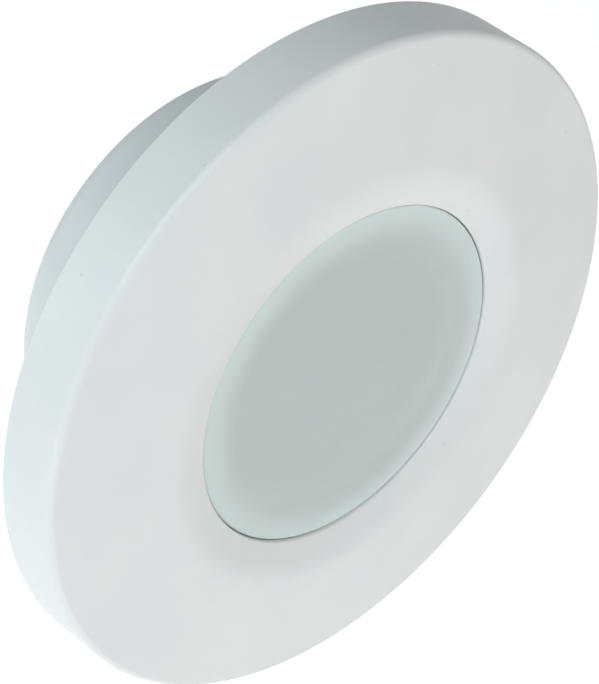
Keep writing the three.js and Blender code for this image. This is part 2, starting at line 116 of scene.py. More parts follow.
def addNode(tree, kind, give=None, inputs=None, to=None, **settings):
    # one node, its settings, and its sockets, each a number, a hex colour or an output to link; gives
    # the output of that name, and links it on if it is told where to
    node = tree.nodes.new("ShaderNode" + kind)
    for key, value in settings.items():
        setattr(node, key, value)
    for name, value in (inputs or {}).items():
        if isinstance(value, bpy.types.NodeSocket):
            tree.links.new(value, node.inputs[name])
        else:
            node.inputs[name].default_value = hexColour(value) if isinstance(value, str) else value
    if to:
        tree.links.new(node.outputs[give], to)
    return node.outputs[give] if give else node


stageSetup = {
    "floorDrop": 180 * mm,  # below the light, which a wall would hold up
    "floorSize": 40,
    "floorColour": "#FAFAFA",
    "floorRoughness": 0.9,
    "floorGlow": (0.5, 0.74),  # the table is lit from below, less in a round spot before the lamp
    "spotBefore": 1.2,  # how far before the lamp that spot lies
    "glowFade": (0.75, 1.18),  # distances from its middle between which the one turns into the other
    "horizon": "#FFFFFF",
    "zenith": "#5C5C5C",
    "skyFade": (0.03, 0.4),  # heights between which one turns into the other
    "worldStrength": (0.8, 0.32),  # at the horizon, as bright as the table there, and above it
    "horizonFade": (0.0, 0.08),
}
lights = {
    "overheadFront": {"at": (-0.2, -0.9, 0.9), "size": 1.0, "power": 5.8, "colour": "#FFF8F6"},
    "highLeft": {"at": (-0.75, -0.22, 0.9), "size": 0.8, "power": 5.7, "colour": "#DEFBFF"},
    "behindLeft": {"at": (-0.8, 0.6, 0.5), "size": 0.8, "power": 2.2, "colour": "#F0F5FA"},
}


def addStage():
    setup = stageSetup
    bpy.ops.mesh.primitive_plane_add(
        size=setup["floorSize"], location=(0, 0, cadBounds[0][2] - setup["floorDrop"]))
    floor = bpy.context.object
    floor.name = "floor"
    paper = bpy.data.materials.new("white_paper_table")
    paper.use_nodes = True
    tree = paper.node_tree
    sockets = tree.nodes["Principled BSDF"].inputs
    sockets["Base Color"].default_value = hexColour(setup["floorColour"])
    sockets["Roughness"].default_value = setup["floorRoughness"]
    sockets["Emission Color"].default_value = (1, 1, 1, 1)
    (near, far), (dim, bright) = setup["glowFade"], setup["floorGlow"]
    away = addNode(tree, "VectorMath", "Value", {
        0: addNode(tree, "TexCoord", "Object"), 1: (0, -setup["spotBefore"], 0)}, operation="DISTANCE")
    addNode(tree, "MapRange", "Result", {
        "Value": away, "From Min": near, "From Max": far, "To Min": dim, "To Max": bright},
        sockets["Emission Strength"], interpolation_type="SMOOTHSTEP")
    floor.data.materials.append(paper)

    world = bpy.data.worlds.new("studio")
    bpy.context.scene.world = world
    world.use_nodes = True
    tree = world.node_tree
    sockets = tree.nodes["Background"].inputs
    direction = addNode(tree, "TexCoord", "Generated")
    height = addNode(tree, "SeparateXYZ", "Z", {"Vector": direction})
    low, high = setup["skyFade"]
    fade = addNode(tree, "MapRange", "Result", {"Value": height, "From Min": low, "From Max": high})
    addNode(tree, "Mix", "Result", {
        "Factor": fade, "A": setup["horizon"], "B": setup["zenith"]}, sockets["Color"], data_type="RGBA")
    (low, high), (atHorizon, above) = setup["horizonFade"], setup["worldStrength"]
    addNode(tree, "MapRange", "Result", {
        "Value": height, "From Min": low, "From Max": high, "To Min": atHorizon, "To Max": above},
        sockets["Strength"])

    for name, setup in lights.items():
        data = bpy.data.lights.new(name, "AREA")
        data.shape = "DISK"
        data.size = setup["size"]
        data.energy = setup["power"]
        data.color = hexColour(setup["colour"])[:3]
        lamp = addObject(name, data)
        lamp.location = setup["at"]
        lamp.rotation_euler = Vector(setup["at"]).to_track_quat("Z", "Y").to_euler()
    bpy.context.scene.view_settings.view_transform = "Standard"


addCamera()
addStage()
print("camera, floor and lights set")


# ---- shaping tools
def rounded(corners, stepAngle=12):
    # an outline's corners, each (radius, y, roundness) in mm, with the round ones made arcs
    points = []
    count = len(corners)
    for i, (x, y, size) in enumerate(corners):
        here = Vector((x, y))
        if size == 0 or count < 3:
            points.append(here)
            continue
        before = Vector(corners[i - 1][:2]) - here
        after = Vector(corners[(i + 1) % count][:2]) - here
        half = before.angle(after) / 2
        reach = min(size / math.tan(half), before.length * 0.49, after.length * 0.49)
        size = reach * math.tan(half)
        middle = here + (before.normalized() + after.normalized()).normalized() * size / math.sin(half)
        start = here + before.normalized() * reach - middle
        end = here + after.normalized() * reach - middle
        sweep = start.angle_signed(end)
        steps = max(2, round(abs(math.degrees(sweep)) / stepAngle))
        for k in range(steps + 1):
            points.append(middle + Matrix.Rotation(-sweep * k / steps, 2) @ start)
    return points


def newPiece(name, bm):
    mesh = bpy.data.meshes.new(name)
    bm.to_mesh(mesh)
    bm.free()
    return addObject(name, mesh)


def tidyMesh(bm):
    bmesh.ops.remove_doubles(bm, verts=bm.verts, dist=0.002 * mm)
    bmesh.ops.recalc_face_normals(bm, faces=bm.faces)


def edgedPiece(name, bm, edge):
    # a piece whose edges are rounded, by that many mm
    if edge:
        bmesh.ops.bevel(
            bm, geom=list(bm.edges), affect="EDGES", offset=edge * mm, segments=3, profile=0.5,
            material=-1)
    return newPiece(name, bm)


def turned(name, corners, steps=turnSteps, stepAngle=12):
    # a solid of revolution about the lamp's axis; it closes on itself unless it ends on the axis
    outline = rounded(corners, stepAngle)
    bm = bmesh.new()
    verts = [bm.verts.new((p.x * mm, p.y * mm, 0)) for p in outline]
    edges = [bm.edges.new(pair) for pair in zip(verts, verts[1:])]
    if corners[0][0] > 0:
        edges.append(bm.edges.new((verts[-1], verts[0])))
    bmesh.ops.spin(
        bm, geom=verts + edges, cent=(0, 0, 0), axis=(0, 1, 0), dvec=(0, 0, 0),
        angle=math.tau, steps=steps, use_merge=True, use_duplicate=False)
    tidyMesh(bm)
    return newPiece(name, bm)


def prism(name, points, front, back, edge=0.0):
    # a flat outline in X and Z, in mm, made solid between two planes across the lamp's axis
    bm = bmesh.new()
    face = bm.faces.new([bm.verts.new((x * mm, front * mm, z * mm)) for x, z in points])
    grown = bmesh.ops.extrude_face_region(bm, geom=[face])
    farSide = [item for item in grown["geom"] if isinstance(item, bmesh.types.BMVert)]
    bmesh.ops.translate(bm, verts=farSide, vec=(0, (back - front) * mm, 0))
    tidyMesh(bm)
    return edgedPiece(name, bm, edge)


def box(name, low, high, edge=0.3):
    # a block between two corners in mm, its edges rounded
    bm = bmesh.new()
    bmesh.ops.create_cube(bm, size=1)
    size = [(b - a) * mm for a, b in zip(low, high)]
    middle = [(a + b) / 2 * mm for a, b in zip(low, high)]
    bmesh.ops.scale(bm, verts=bm.verts, vec=size)
    bmesh.ops.translate(bm, verts=bm.verts, vec=middle)
    return edgedPiece(name, bm, edge)


def rod(name, radius, front, back, steps=smallTurnSteps, edge=0.0):
    return turned(name, [(0, front, 0), (radius, front, edge), (radius, back, edge), (0, back, 0)], steps)


def hoop(name, inner, outer, front, back, steps=turnSteps, edge=0.0):
    return turned(name, [
        (inner, front, edge), (outer, front, edge), (outer, back, edge), (inner, back, edge)], steps)


def moved(piece, x=0, y=0, z=0):
    piece.data.transform(Matrix.Translation((x * mm, y * mm, z * mm)))
    return piece


def spun(piece, degrees):
    piece.data.transform(Matrix.Rotation(math.radians(-degrees), 4, "Y"))
    return piece


def copied(piece, name):
    return addObject(name, piece.data.copy())


def joined(name, pieces):
    # one mesh of several, which are used up; each face keeps its material's number
    bm = bmesh.new()
    for piece in pieces:
        bm.from_mesh(piece.data)
        bpy.data.objects.remove(piece)
    return newPiece(name, bm)


def combine(piece, others, operation, crossing=False):
    # joins or cuts a piece with others, which are used up and may cross each other
    tool = joined("tool", others)
    modifier = piece.modifiers.new("combine", "BOOLEAN")
    modifier.operation = operation
    modifier.solver = "EXACT"
    modifier.use_self = crossing
    modifier.object = tool
    shaped = piece.evaluated_get(bpy.context.evaluated_depsgraph_get())
    mesh = bpy.data.meshes.new_from_object(shaped)
    piece.modifiers.clear()
    old = piece.data
    piece.data = mesh
    bpy.data.meshes.remove(old)
    mesh.name = piece.name
    bpy.data.objects.remove(tool)
    return piece


def allRound(piece, radius, angles):
    # copies of a piece set out round the lamp's axis, in place of the piece
    ring = [spun(moved(copied(piece, piece.name), x=radius), angle) for angle in angles]
    bpy.data.objects.remove(piece)
    return ring


def bothSides(piece, spacing):
    # a piece to the left and to the right of the lamp's axis, in place of the piece
    return [moved(copied(piece, piece.name), x=-spacing), moved(piece, x=spacing)]


def hexBar(name, acrossFlats, front, back, chamfer=0.0):
    # a six-sided bar along the lamp's axis, its corners turned off at both ends
    corner = acrossFlats / math.sqrt(3)
    points = [(corner * math.cos(k * math.tau / 6), corner * math.sin(k * math.tau / 6)) for k in range(6)]
    bar = prism(name, points, front, back, 0.25)
    if not chamfer:
        return bar
    side = acrossFlats / 2 - 0.2
    slope = (corner - side) * chamfer
    barrel = turned("barrel", [
        (0, front - 0.01, 0), (side, front - 0.01, 0), (corner + 0.1, front + slope, 0),
        (corner + 0.1, back - slope, 0), (side, back + 0.01, 0), (0, back + 0.01, 0)], 96)
    return combine(bar, [barrel], "INTERSECT")


def threadedRod(name, root, crest, pitch, front, back, steps=smallTurnSteps):
    # a screw thread: a zigzag spun so that one turn moves it one pitch along, then cut off square
    turns = math.ceil((back - front) / pitch) + 3
    shape = [(root, 0.0), (root, 0.12), (crest, 0.44), (crest, 0.56), (root, 0.88)]
    bm = bmesh.new()
    outline = [(radius, (turn + along) * pitch) for turn in range(turns) for radius, along in shape]
    start = front - 1.5 * pitch
    verts = [bm.verts.new((radius * mm, (start + y) * mm, 0)) for radius, y in outline]
    edges = [bm.edges.new(pair) for pair in zip(verts, verts[1:])]
    bmesh.ops.spin(
        bm, geom=verts + edges, cent=(0, 0, 0), axis=(0, 1, 0), dvec=(0, pitch * mm / steps, 0),
        angle=math.tau, steps=steps, use_merge=False, use_duplicate=False)
    bmesh.ops.remove_doubles(bm, verts=bm.verts, dist=0.002 * mm)
    for plane, outwards in ((front, -1), (back, 1)):
        bmesh.ops.bisect_plane(
            bm, geom=list(bm.verts) + list(bm.edges) + list(bm.faces), dist=0.0001 * mm,
            plane_co=(0, plane * mm, 0), plane_no=(0, outwards, 0), clear_outer=True)
    bmesh.ops.holes_fill(bm, edges=[edge for edge in bm.edges if edge.is_boundary], sides=0)
    tidyMesh(bm)
    return newPiece(name, bm)


screwShape = {
    "edge": 0.55,  # roundness of the head's edge, as a part of its height
    "recess": (0.56, 0.62),  # reach and depth, as parts of the head's radius and of its height
    "arm": 0.17,  # half width of the recess's arms, as a part of their reach
    "foot": 0.55,  # how much narrower the recess is at its foot
    "thread": 0.54,  # depth of the thread, as a part of its pitch
    "point": 0.7,  # mm, length of the point
}


def crossRecess(radius, front, depth):
    # the cutter for a cross recess in a screw's head, narrower at its foot
    arm, half = radius, radius * screwShape["arm"]
    points = []
    for quarter in range(4):
        turn = Matrix.Rotation(quarter * math.tau / 4, 2)
        points += [turn @ Vector(corner) for corner in ((half, half), (arm, half), (arm, -half))][::-1]
    recess = prism("recess", points, front - 0.3, front + depth)
    for vert in recess.data.vertices:
        if vert.co.y > front * mm:
            vert.co.x *= screwShape["foot"]
            vert.co.z *= screwShape["foot"]
    return recess


def makeScrew(name, size, seat):
    # a pan head with a cross recess on a cut thread; size gives everything in mm
    radius, height = size["head"], size["height"]
    front = seat - height
    head = turned(name, [
        (0, front, 0), (radius, front, height * screwShape["edge"]), (radius, seat, 0.12),
        (0, seat, 0)], smallTurnSteps)
    reach, depth = screwShape["recess"]
    head = combine(head, [crossRecess(radius * reach, front, height * depth)], "DIFFERENCE")
    root = size["shank"] - size["pitch"] * screwShape["thread"]
    back = seat + size["length"]
    shank = threadedRod("shank", root, size["shank"], size["pitch"], seat - 0.2, back, 24)
    point = turned("point", [
        (0, seat - 0.4, 0), (size["shank"] + 0.1, seat - 0.4, 0),
        (size["shank"] + 0.1, back - screwShape["point"], 0), (root * 0.9, back, 0), (0, back, 0)], 24)
    return combine(head, [combine(shank, [point], "INTERSECT")], "UNION")


def extent(node):
    # where a CAD node starts and ends along the lamp's axis, and how far out it reaches, in mm
    low, high = (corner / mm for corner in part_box(node))
    return low.y, high.y, high.x


def smooth(piece, angle=35):
    piece.data.shade_smooth()
    piece.data.set_sharp_from_angle(angle=math.radians(angle))
    modifier = piece.modifiers.new("even shading", "WEIGHTED_NORMAL")
    modifier.keep_sharp = True


def finish(piece, body, slot, material, *nodes):
    # a piece's shading, finish, and the CAD nodes that it stands for
    smooth(piece)
    for each in material if isinstance(material, list) else [material]:
        piece.data.materials.append(each)
    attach(piece, body)
    if nodes:
        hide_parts(*nodes)
    return piece


# ---- materials
def startMaterial(name, sockets):
    # a material with the sockets that are the same all over it, and the place that its patterns read
    material = bpy.data.materials.new(name)
    material.use_nodes = True
    tree = material.node_tree
    shader = tree.nodes["Principled BSDF"]
    for key, value in sockets.items():
        shader.inputs[key].default_value = hexColour(value) if isinstance(value, str) else value
    return material, tree, shader.inputs, addNode(tree, "TexCoord", "Object")


def perMetre(millimetres):
    # a texture's scale for features that far apart
    return 1 / (millimetres * mm)


def patchesOf(tree, place, spacing, detail, low, high):
    # soft patches that many mm apart, from 0 to 1
    cloud = addNode(tree, "TexNoise", "Fac", {"Vector": place, "Scale": perMetre(spacing), "Detail": detail})
    return addNode(tree, "MapRange", "Result", {"Value": cloud, "From Min": low, "From Max": high})


def cellsOf(tree, place, spacing, low, high):
    # round cells that many mm apart, 0 in their middles and 1 between them
    cells = addNode(tree, "TexVoronoi", "Distance", {"Vector": place, "Scale": perMetre(spacing)})
    return addNode(tree, "MapRange", "Result", {"Value": cells, "From Min": low, "From Max": high})


def reliefOf(tree, place, spacing, detail, depth, strength, to):
    # fine bumps that many mm apart, and that deep; gives their height
    height = addNode(tree, "TexNoise", "Fac", {
        "Vector": place, "Scale": perMetre(spacing), "Detail": detail})
    addNode(tree, "Bump", "Normal", {"Height": height, "Distance": depth * mm, "Strength": strength}, to)
    return height


def aroundAxis(tree, place):
    # turns a place into its distance from the lamp's axis, and its depth along that
    parts = addNode(tree, "SeparateXYZ", inputs={"Vector": place}).outputs
    flat = addNode(tree, "CombineXYZ", "Vector", {"X": parts["X"], "Y": parts["Z"]})
    return addNode(tree, "VectorMath", "Value", {0: flat}, operation="LENGTH"), parts["Y"]


absSetup = {
    "sockets": {"IOR": 1.53},
    "colour": "#EBEBEA",
    "shade": "#E6E7E7",
    "pit": "#C0C1C0",
    "roughness": (0.37, 0.48),
    "grain": 0.5,  # mm between the bumps of the spark-eroded mould's grain, coarse enough to show
    "grainDepth": 0.012,
    "pitSpacing": 6.0,  # mm between the cells that may hold a dust pit in the skin
    "pitEdge": (0.02, 0.07),  # a pit's radius at its foot and at its edge, as parts of a cell
    "pitsLeftOut": 0.6,  # the part of the cells that hold none
    "pitTint": 0.4,  # how far a pit's colour shows
    "pitDepth": 0.06,
    "cloud": (30, 3, 0.35, 0.65),  # the faint patches of a moulded white
}


def makeAbs():
    # ABS, injection moulded: gives the eye a clean white satin with a very fine grain
    setup = absSetup
    material, tree, sockets, place = startMaterial("ABS_moulded_white", setup["sockets"])
    grain = addNode(tree, "TexNoise", "Fac", {
        "Vector": place, "Scale": perMetre(setup["grain"]), "Detail": 2})
    cells = addNode(tree, "TexVoronoi", inputs={
        "Vector": place, "Scale": perMetre(setup["pitSpacing"])}).outputs
    foot, edge = setup["pitEdge"]
    dot = addNode(tree, "MapRange", "Result", {
        "Value": cells["Distance"], "From Min": foot, "From Max": edge, "To Min": 1, "To Max": 0})
    chance = addNode(tree, "SeparateColor", "Red", {"Color": cells["Color"]})
    some = addNode(tree, "Math", "Value", {0: chance, 1: setup["pitsLeftOut"]}, operation="GREATER_THAN")
    pits = addNode(tree, "Math", "Value", {0: dot, 1: some}, operation="MULTIPLY")
    cloud = patchesOf(tree, place, *setup["cloud"])
    base = addNode(tree, "Mix", "Result", {
        "Factor": cloud, "A": setup["colour"], "B": setup["shade"]}, data_type="RGBA")
    tint = addNode(tree, "Math", "Value", {0: pits, 1: setup["pitTint"]}, operation="MULTIPLY")
    addNode(tree, "Mix", "Result", {
        "Factor": tint, "A": base, "B": setup["pit"]}, sockets["Base Color"], data_type="RGBA")
    smooth, dull = setup["roughness"]
    addNode(tree, "MapRange", "Result", {
        "Value": grain, "From Min": 0.3, "From Max": 0.7, "To Min": smooth, "To Max": dull},
        sockets["Roughness"])
    fine = addNode(tree, "Bump", "Normal", {
        "Height": grain, "Distance": setup["grainDepth"] * mm, "Strength": 0.6})
    addNode(tree, "Bump", "Normal", {
        "Height": pits, "Distance": setup["pitDepth"] * mm, "Strength": 0.7, "Normal": fine},
        sockets["Normal"], invert=True)
    return material


glassSetup = {
    "sockets": {"Roughness": 0.03, "IOR": 1.52},
    "colour": "#F6FDFB",
    "edgeColour": "#EEFCF8",
    "haze": (0.42, 0.70),  # how much of the light the glass scatters, in the middle and at the edge
    "hazeFade": (32.5, 42),  # mm, the radii between which the one turns into the other
    "ripple": (26, 1, 0.03, 0.5),  # the pressing's slow waves
}
frostSetup = {
    "sockets": {"Roughness": 0.75, "IOR": 1.52},
    # the middle's pale green etched tone, darkened with painted shade of the lamp's unlit inside behind the
    # glass
    "colour": "#E2E9E6",
    "shade": "#DAE2E0",
    "bandColour": "#FFFFFF",
    "bandFade": (27, 36),  # mm, the radii between which the white seal comes to back the glass
    "patches": (24, 4, 0.3, 0.7),  # the faint patches of the etching
    "etch": (0.3, 2, 0.01, 0.5),  # its pits, coarse enough to show
}


def ringOf(tree, place, inner, outer):
    # 0 inside one radius in mm and 1 outside another, with a soft edge
    radius = aroundAxis(tree, place)[0]
    return addNode(tree, "MapRange", "Result", {
        "Value": radius, "From Min": inner * mm, "From Max": outer * mm}, interpolation_type="SMOOTHSTEP")


def makeGlass():
    # toughened soda-lime glass, pressed and fire polished: glossy, a little milky and green at its edge
    setup = glassSetup
    material, tree, sockets, place = startMaterial("toughened_glass_polished", setup["sockets"])
    edge = ringOf(tree, place, *setup["hazeFade"])
    addNode(tree, "Mix", "Result", {
        "Factor": edge, "A": setup["colour"], "B": setup["edgeColour"]}, sockets["Base Color"],
        data_type="RGBA")
    least, most = setup["haze"]
    addNode(tree, "MapRange", "Result", {
        "Value": edge, "To Min": 1 - least, "To Max": 1 - most}, sockets["Transmission Weight"])
    reliefOf(tree, place, *setup["ripple"], sockets["Normal"])
    return material


def makeFrost():
    # the same glass, acid etched: a fine even matt that reads paler where the white seal backs it, and
    # darker in the middle, where its colour carries painted shade of the lamp's unlit inside
    setup = frostSetup
    material, tree, sockets, place = startMaterial("toughened_glass_etched", setup["sockets"])
    # the middle's etched tone, which carries painted shade of the lamp's unlit inside; the white band mixed
    # in after it is the seal's own colour
    etched = addNode(tree, "Mix", "Result", {
        "Factor": patchesOf(tree, place, *setup["patches"]), "A": setup["colour"], "B": setup["shade"]},
        data_type="RGBA")
    addNode(tree, "Mix", "Result", {
        "Factor": ringOf(tree, place, *setup["bandFade"]), "A": etched, "B": setup["bandColour"]},
        sockets["Base Color"], data_type="RGBA")
    reliefOf(tree, place, *setup["etch"], sockets["Normal"])
    return material


steelSetup = {
    "sockets": {"Metallic": 1},
    "colour": "#CFD1D1",
    "shade": "#B9BBBC",
    "roughness": (0.22, 0.37),
    "marks": (0.12, 4, 0.006, 0.5),
    "markLength": 7,  # mm, which squashes the marks' 0.12 mm along the strip
    "handled": 9,  # mm between the smears of handling
}


def makeSteel(name, onLathe):
    # 304 stainless steel: cool grey with fine marks, along the strip or round the lathe's axis
    setup = steelSetup
    material, tree, sockets, place = startMaterial(name, setup["sockets"])
    if onLathe:
        radius, depth = aroundAxis(tree, place)
        across = addNode(tree, "Math", "Value", {0: radius, 1: depth}, operation="ADD")
        lines = addNode(tree, "CombineXYZ", "Vector", {"X": across})
    else:
        squash = setup["marks"][0] / setup["markLength"]
        lines = addNode(tree, "Mapping", "Vector", {"Vector": place, "Scale": (1, 1, squash)})
    marks = reliefOf(tree, lines, *setup["marks"], sockets["Normal"])
    tone = addNode(tree, "MapRange", "Result", {"Value": marks, "From Min": 0.35, "From Max": 0.65})
    addNode(tree, "Mix", "Result", {
        "Factor": tone, "A": setup["colour"], "B": setup["shade"]}, sockets["Base Color"], data_type="RGBA")
    smear = patchesOf(tree, place, setup["handled"], 3, 0.3, 0.7)
    shine, dull = setup["roughness"]
    addNode(tree, "MapRange", "Result", {
        "Value": smear, "To Min": shine, "To Max": dull}, sockets["Roughness"])
    return material


# Finishes in two shades. patches: mm apart, detail, and where they start and end; cells: mm apart, and
# where they start and end, with bubble, their depth in mm and strength; over: patches of a third shade;
# relief: mm apart, detail, depth in mm and strength; squash: what the relief is scaled by along each
# axis; roughness: in the one shade and in the other; grainShine: in the relief's lows and highs
twoShades = {
    # free-cutting brass, turned: warm yellow with fine tool marks and a slight brown tarnish
    "brass_turned": {
        "sockets": {"Metallic": 1}, "colour": "#CBA65F", "shade": "#A98443", "patches": (3, 5, 0.45, 0.7),
        "roughness": (0.3, 0.5), "relief": (0.15, 2, 0.008, 0.5), "squash": (0.02, 1, 0.02)},
    # aluminium, spun, brightened and anodised: a soft mirror with the spinning tool's fine rings
    "aluminium_spun_anodised": {
        "sockets": {"Metallic": 1}, "colour": "#E2E4E4", "shade": "#D0D3D4", "patches": (12, 3, 0.4, 0.65),
        "roughness": (0.16, 0.24), "relief": (0.55, 2, 0.02, 0.5), "rings": True},
    # silicone rubber, compression moulded: a milky soft white with a dull, slightly tacky skin
    "silicone_rubber_moulded": {
        "sockets": {"IOR": 1.41, "Subsurface Weight": 0.25, "Subsurface Scale": 0.8 * mm},
        "colour": "#E9EBE8", "shade": "#DCDEDA", "patches": (5, 4, 0.35, 0.7),
        "roughness": (0.42, 0.6), "relief": (0.6, 3, 0.015, 0.5)},
    # nylon 66, injection moulded: an off-white with a waxy shine and a trace of grain
    "nylon_66_moulded_white": {
        "sockets": {"IOR": 1.53, "Subsurface Weight": 0.1, "Subsurface Scale": 0.6 * mm},
        "colour": "#E3E4E1", "shade": "#D6D7D3", "patches": (8, 4, 0.35, 0.65),
        "grainShine": (0.32, 0.45), "relief": (0.35, 2, 0.012, 0.5)},
    # EPDM rubber, moulded: near black and dull, with a dusting of talc
    "EPDM_rubber_moulded": {
        "sockets": {"IOR": 1.52}, "colour": "#28292A", "shade": "#48494A", "patches": (2.5, 6, 0.5, 0.75),
        "roughness": (0.62, 0.85), "relief": (0.3, 3, 0.02, 0.5)},
    # EPDM foam, closed cell and die cut: a charcoal sheet of tiny burst bubbles
    "EPDM_foam_closed_cell": {
        "sockets": {"IOR": 1.5, "Roughness": 0.92}, "colour": "#2A2B2D", "shade": "#424548",
        "cells": (0.45, 0.1, 0.55), "bubble": (0.12, 0.8), "over": ((4, 5, 0.45, 0.7), "#4B4E50")},
    # silicone on glass braid, extruded: a brick red sleeve with a fine crossed weave under its skin
    "silicone_glass_sleeve": {
        "sockets": {"IOR": 1.43, "Roughness": 0.5}, "colour": "#B4563F", "shade": "#8F3F2F",
        "cells": (0.4, 0.1, 0.6), "bubble": (0.04, 0.5), "raised": True},
    # steatite, pressed and fired without glaze: a cream ceramic with a dry, sandy skin
    "steatite_unglazed": {
        "sockets": {"IOR": 1.6, "Roughness": 0.78}, "colour": "#E8E1D2", "shade": "#DACFB9",
        "patches": (7, 4, 0.35, 0.7), "over": ((0.35, 3, 0.62, 0.72), "#A89A80"),
        "relief": (0.18, 4, 0.02, 0.7)},
    # tungsten wire, drawn and coiled: a dull dark grey metal
    "tungsten_drawn_wire": {
        "sockets": {"Metallic": 1, "Roughness": 0.42}, "colour": "#7C7D80", "shade": "#55575A",
        "patches": (0.6, 3, 0.4, 0.7)},
}


def makeTwoShades(name):
    setup = twoShades[name]
    material, tree, sockets, place = startMaterial(name, setup["sockets"])
    if "cells" in setup:
        mask = cellsOf(tree, place, *setup["cells"])
        depth, strength = setup["bubble"]
        addNode(tree, "Bump", "Normal", {
            "Height": mask, "Distance": depth * mm, "Strength": strength}, sockets["Normal"],
            invert=setup.get("raised", False))
    else:
        mask = patchesOf(tree, place, *setup["patches"])
    base = addNode(tree, "Mix", "Result", {
        "Factor": mask, "A": setup["colour"], "B": setup["shade"]}, data_type="RGBA")
    if "over" in setup:
        patches, colour = setup["over"]
        base = addNode(tree, "Mix", "Result", {
            "Factor": patchesOf(tree, place, *patches), "A": base, "B": colour}, data_type="RGBA")
    tree.links.new(base, sockets["Base Color"])
    if "rings" in setup:
        radius, depth = aroundAxis(tree, place)
        place = addNode(tree, "CombineXYZ", "Vector", {
            "X": addNode(tree, "Math", "Value", {0: radius, 1: depth}, operation="SUBTRACT")})
    if "squash" in setup:
        place = addNode(tree, "Mapping", "Vector", {"Vector": place, "Scale": setup["squash"]})
    if "relief" in setup:
        height = reliefOf(tree, place, *setup["relief"], sockets["Normal"])
    if "roughness" in setup:
        one, other = setup["roughness"]
        addNode(tree, "MapRange", "Result", {
            "Value": mask, "To Min": one, "To Max": other}, sockets["Roughness"])
    if "grainShine" in setup:
        low, high = setup["grainShine"]
        addNode(tree, "MapRange", "Result", {
            "Value": height, "From Min": 0.3, "From Max": 0.7, "To Min": low, "To Max": high},
            sockets["Roughness"])
    return material


quartzSetup = {
    "sockets": {"Base Color": "#FAFCFC", "Roughness": 0.01, "IOR": 1.458, "Transmission Weight": 1},
    "squash": (1, 0.1, 1),
    "relief": (1.2, 3, 0.02, 0.4),
}


def makeQuartz():
    # fused quartz, blown and pinched: water clear with faint drawn lines
    material, tree, sockets, place = startMaterial("quartz_fused_clear", quartzSetup["sockets"])
    drawn = addNode(tree, "Mapping", "Vector", {"Vector": place, "Scale": quartzSetup["squash"]})
    reliefOf(tree, drawn, *quartzSetup["relief"], sockets["Normal"])
    return material


whiteAbs = makeAbs()
glass = makeGlass()
frost = makeFrost()
turnedSteel = makeSteel("stainless_steel_304_turned", True)
sheetSteel = makeSteel("stainless_steel_304_brushed", False)
quartz = makeQuartz()
brass = makeTwoShades("brass_turned")
aluminium = makeTwoShades("aluminium_spun_anodised")
silicone = makeTwoShades("silicone_rubber_moulded")
nylon = makeTwoShades("nylon_66_moulded_white")
rubber = makeTwoShades("EPDM_rubber_moulded")
foam = makeTwoShades("EPDM_foam_closed_cell")
sleeve = makeTwoShades("silicone_glass_sleeve")
steatite = makeTwoShades("steatite_unglazed")
tungsten = makeTwoShades("tungsten_drawn_wire")
print("materials made")


# ---- face disc: moulded in one piece with four studs on its back
clampAngles = [30 + 60 * k for k in range(6)]
clipAngles = [45 + 90 * k for k in range(4)]
wallAngles = [90 * k for k in range(4)]
fixingCircle = 69  # mm, radius of the trim clips and of the wall screws
clampCircle = 56.5  # mm, radius of the lens clamp's screws

discSetup = {
    "rim": 82.5,
    "draft": 0.5,  # the rim is this much smaller at its front corner
    "corner": 1.8,  # roundness of the front corner
    "wall": 2.8,
    "opening": 42.4,
    "lip": 0.5,  # roundness of the opening's edge
    "lipDepth": 1.2,
    "lipBack": 2.25,  # how far behind the crown the lip and the front corner lie
    "cornerBack": 3.05,
    "cornerInside": 2.6,  # how far behind the corner its inner one lies
    "studRoot": 1.6,  # how far behind the corner the studs and their fins start, in the wall
    "crown": 50.2,
    "crownRound": 14,
    "stud": (3.2, 1.6, 2.3),  # radius at foot, neck and head
    "studTip": -7.4,
    "studSteps": (4.8, 4.0, 2.8, 2.0, 0.6),  # before the tip: foot's end, neck's start and end, head's edges
    "fin": (5.6, 0.6, 2.0),  # half length, half thickness and height of the studs' fins
}


def makeFaceDisc():
    front, back = extent("face_disc")[:2]
    setup = discSetup
    corner = front + setup["cornerBack"]
    lipFront = front + setup["lipBack"]
    disc = turned("face_disc_moulding", [
        (setup["opening"], lipFront, setup["lip"]),
        (setup["crown"], front - 0.05, setup["crownRound"]),
        (setup["rim"] - setup["draft"], corner, setup["corner"]),
        (setup["rim"], back, 0.35),
        (setup["rim"] - setup["wall"], back, 0.35),
        (setup["rim"] - setup["wall"] - setup["draft"], corner + setup["cornerInside"], 1.6),
        (setup["crown"], front + setup["wall"], 10),
        (setup["opening"], lipFront + setup["lipDepth"], 0.25),
    ])
    foot, neck, head = setup["stud"]
    root = corner + setup["studRoot"]
    tip = setup["studTip"]
    footEnd, neckStart, neckEnd, headStart, headEnd = (tip - step for step in setup["studSteps"])
    stud = turned("stud", [
        (0, root, 0), (foot, root, 0), (foot, footEnd, 0.4), (neck, neckStart, 0.5),
        (neck, neckEnd, 0.4), (head, headStart, 0.4), (head - 0.2, headEnd, 0.5), (0, tip, 0)],
        smallTurnSteps)
    reach, half, height = setup["fin"]
    fins = [
        box("fin", (-reach, root, -half), (reach, root + height, half), 0.3),
        box("fin", (-half, root, -reach), (half, root + height, reach), 0.3),
    ]
    studs = [each for part in (stud, *fins) for each in allRound(part, fixingCircle, clipAngles)]
    return combine(disc, studs, "UNION", crossing=True)


finish(makeFaceDisc(), "face_disc", "abs_white", whiteAbs, "face_disc")
print("face disc made")


# ---- lens: stepped glass, polished in front and etched behind, in its silicone gasket
lensSetup = {
    "step": 42.25,
    "flange": 45.8,
    "flangeThickness": 3.5,
    "bevel": 0.6,
    "gasketMouth": 43,
    "gasketWall": 1.5,
    "gasketSeal": 35,
    "groove": 0.4,  # depth of the gasket's two outer grooves
    "grooveHalf": (0.7, 0.3),  # half their width at the top and at the bottom
    "grooveIn": 1.9,  # from the gasket's ends
    "lips": (0.9, 1.0),  # thickness of its front and back lips
}


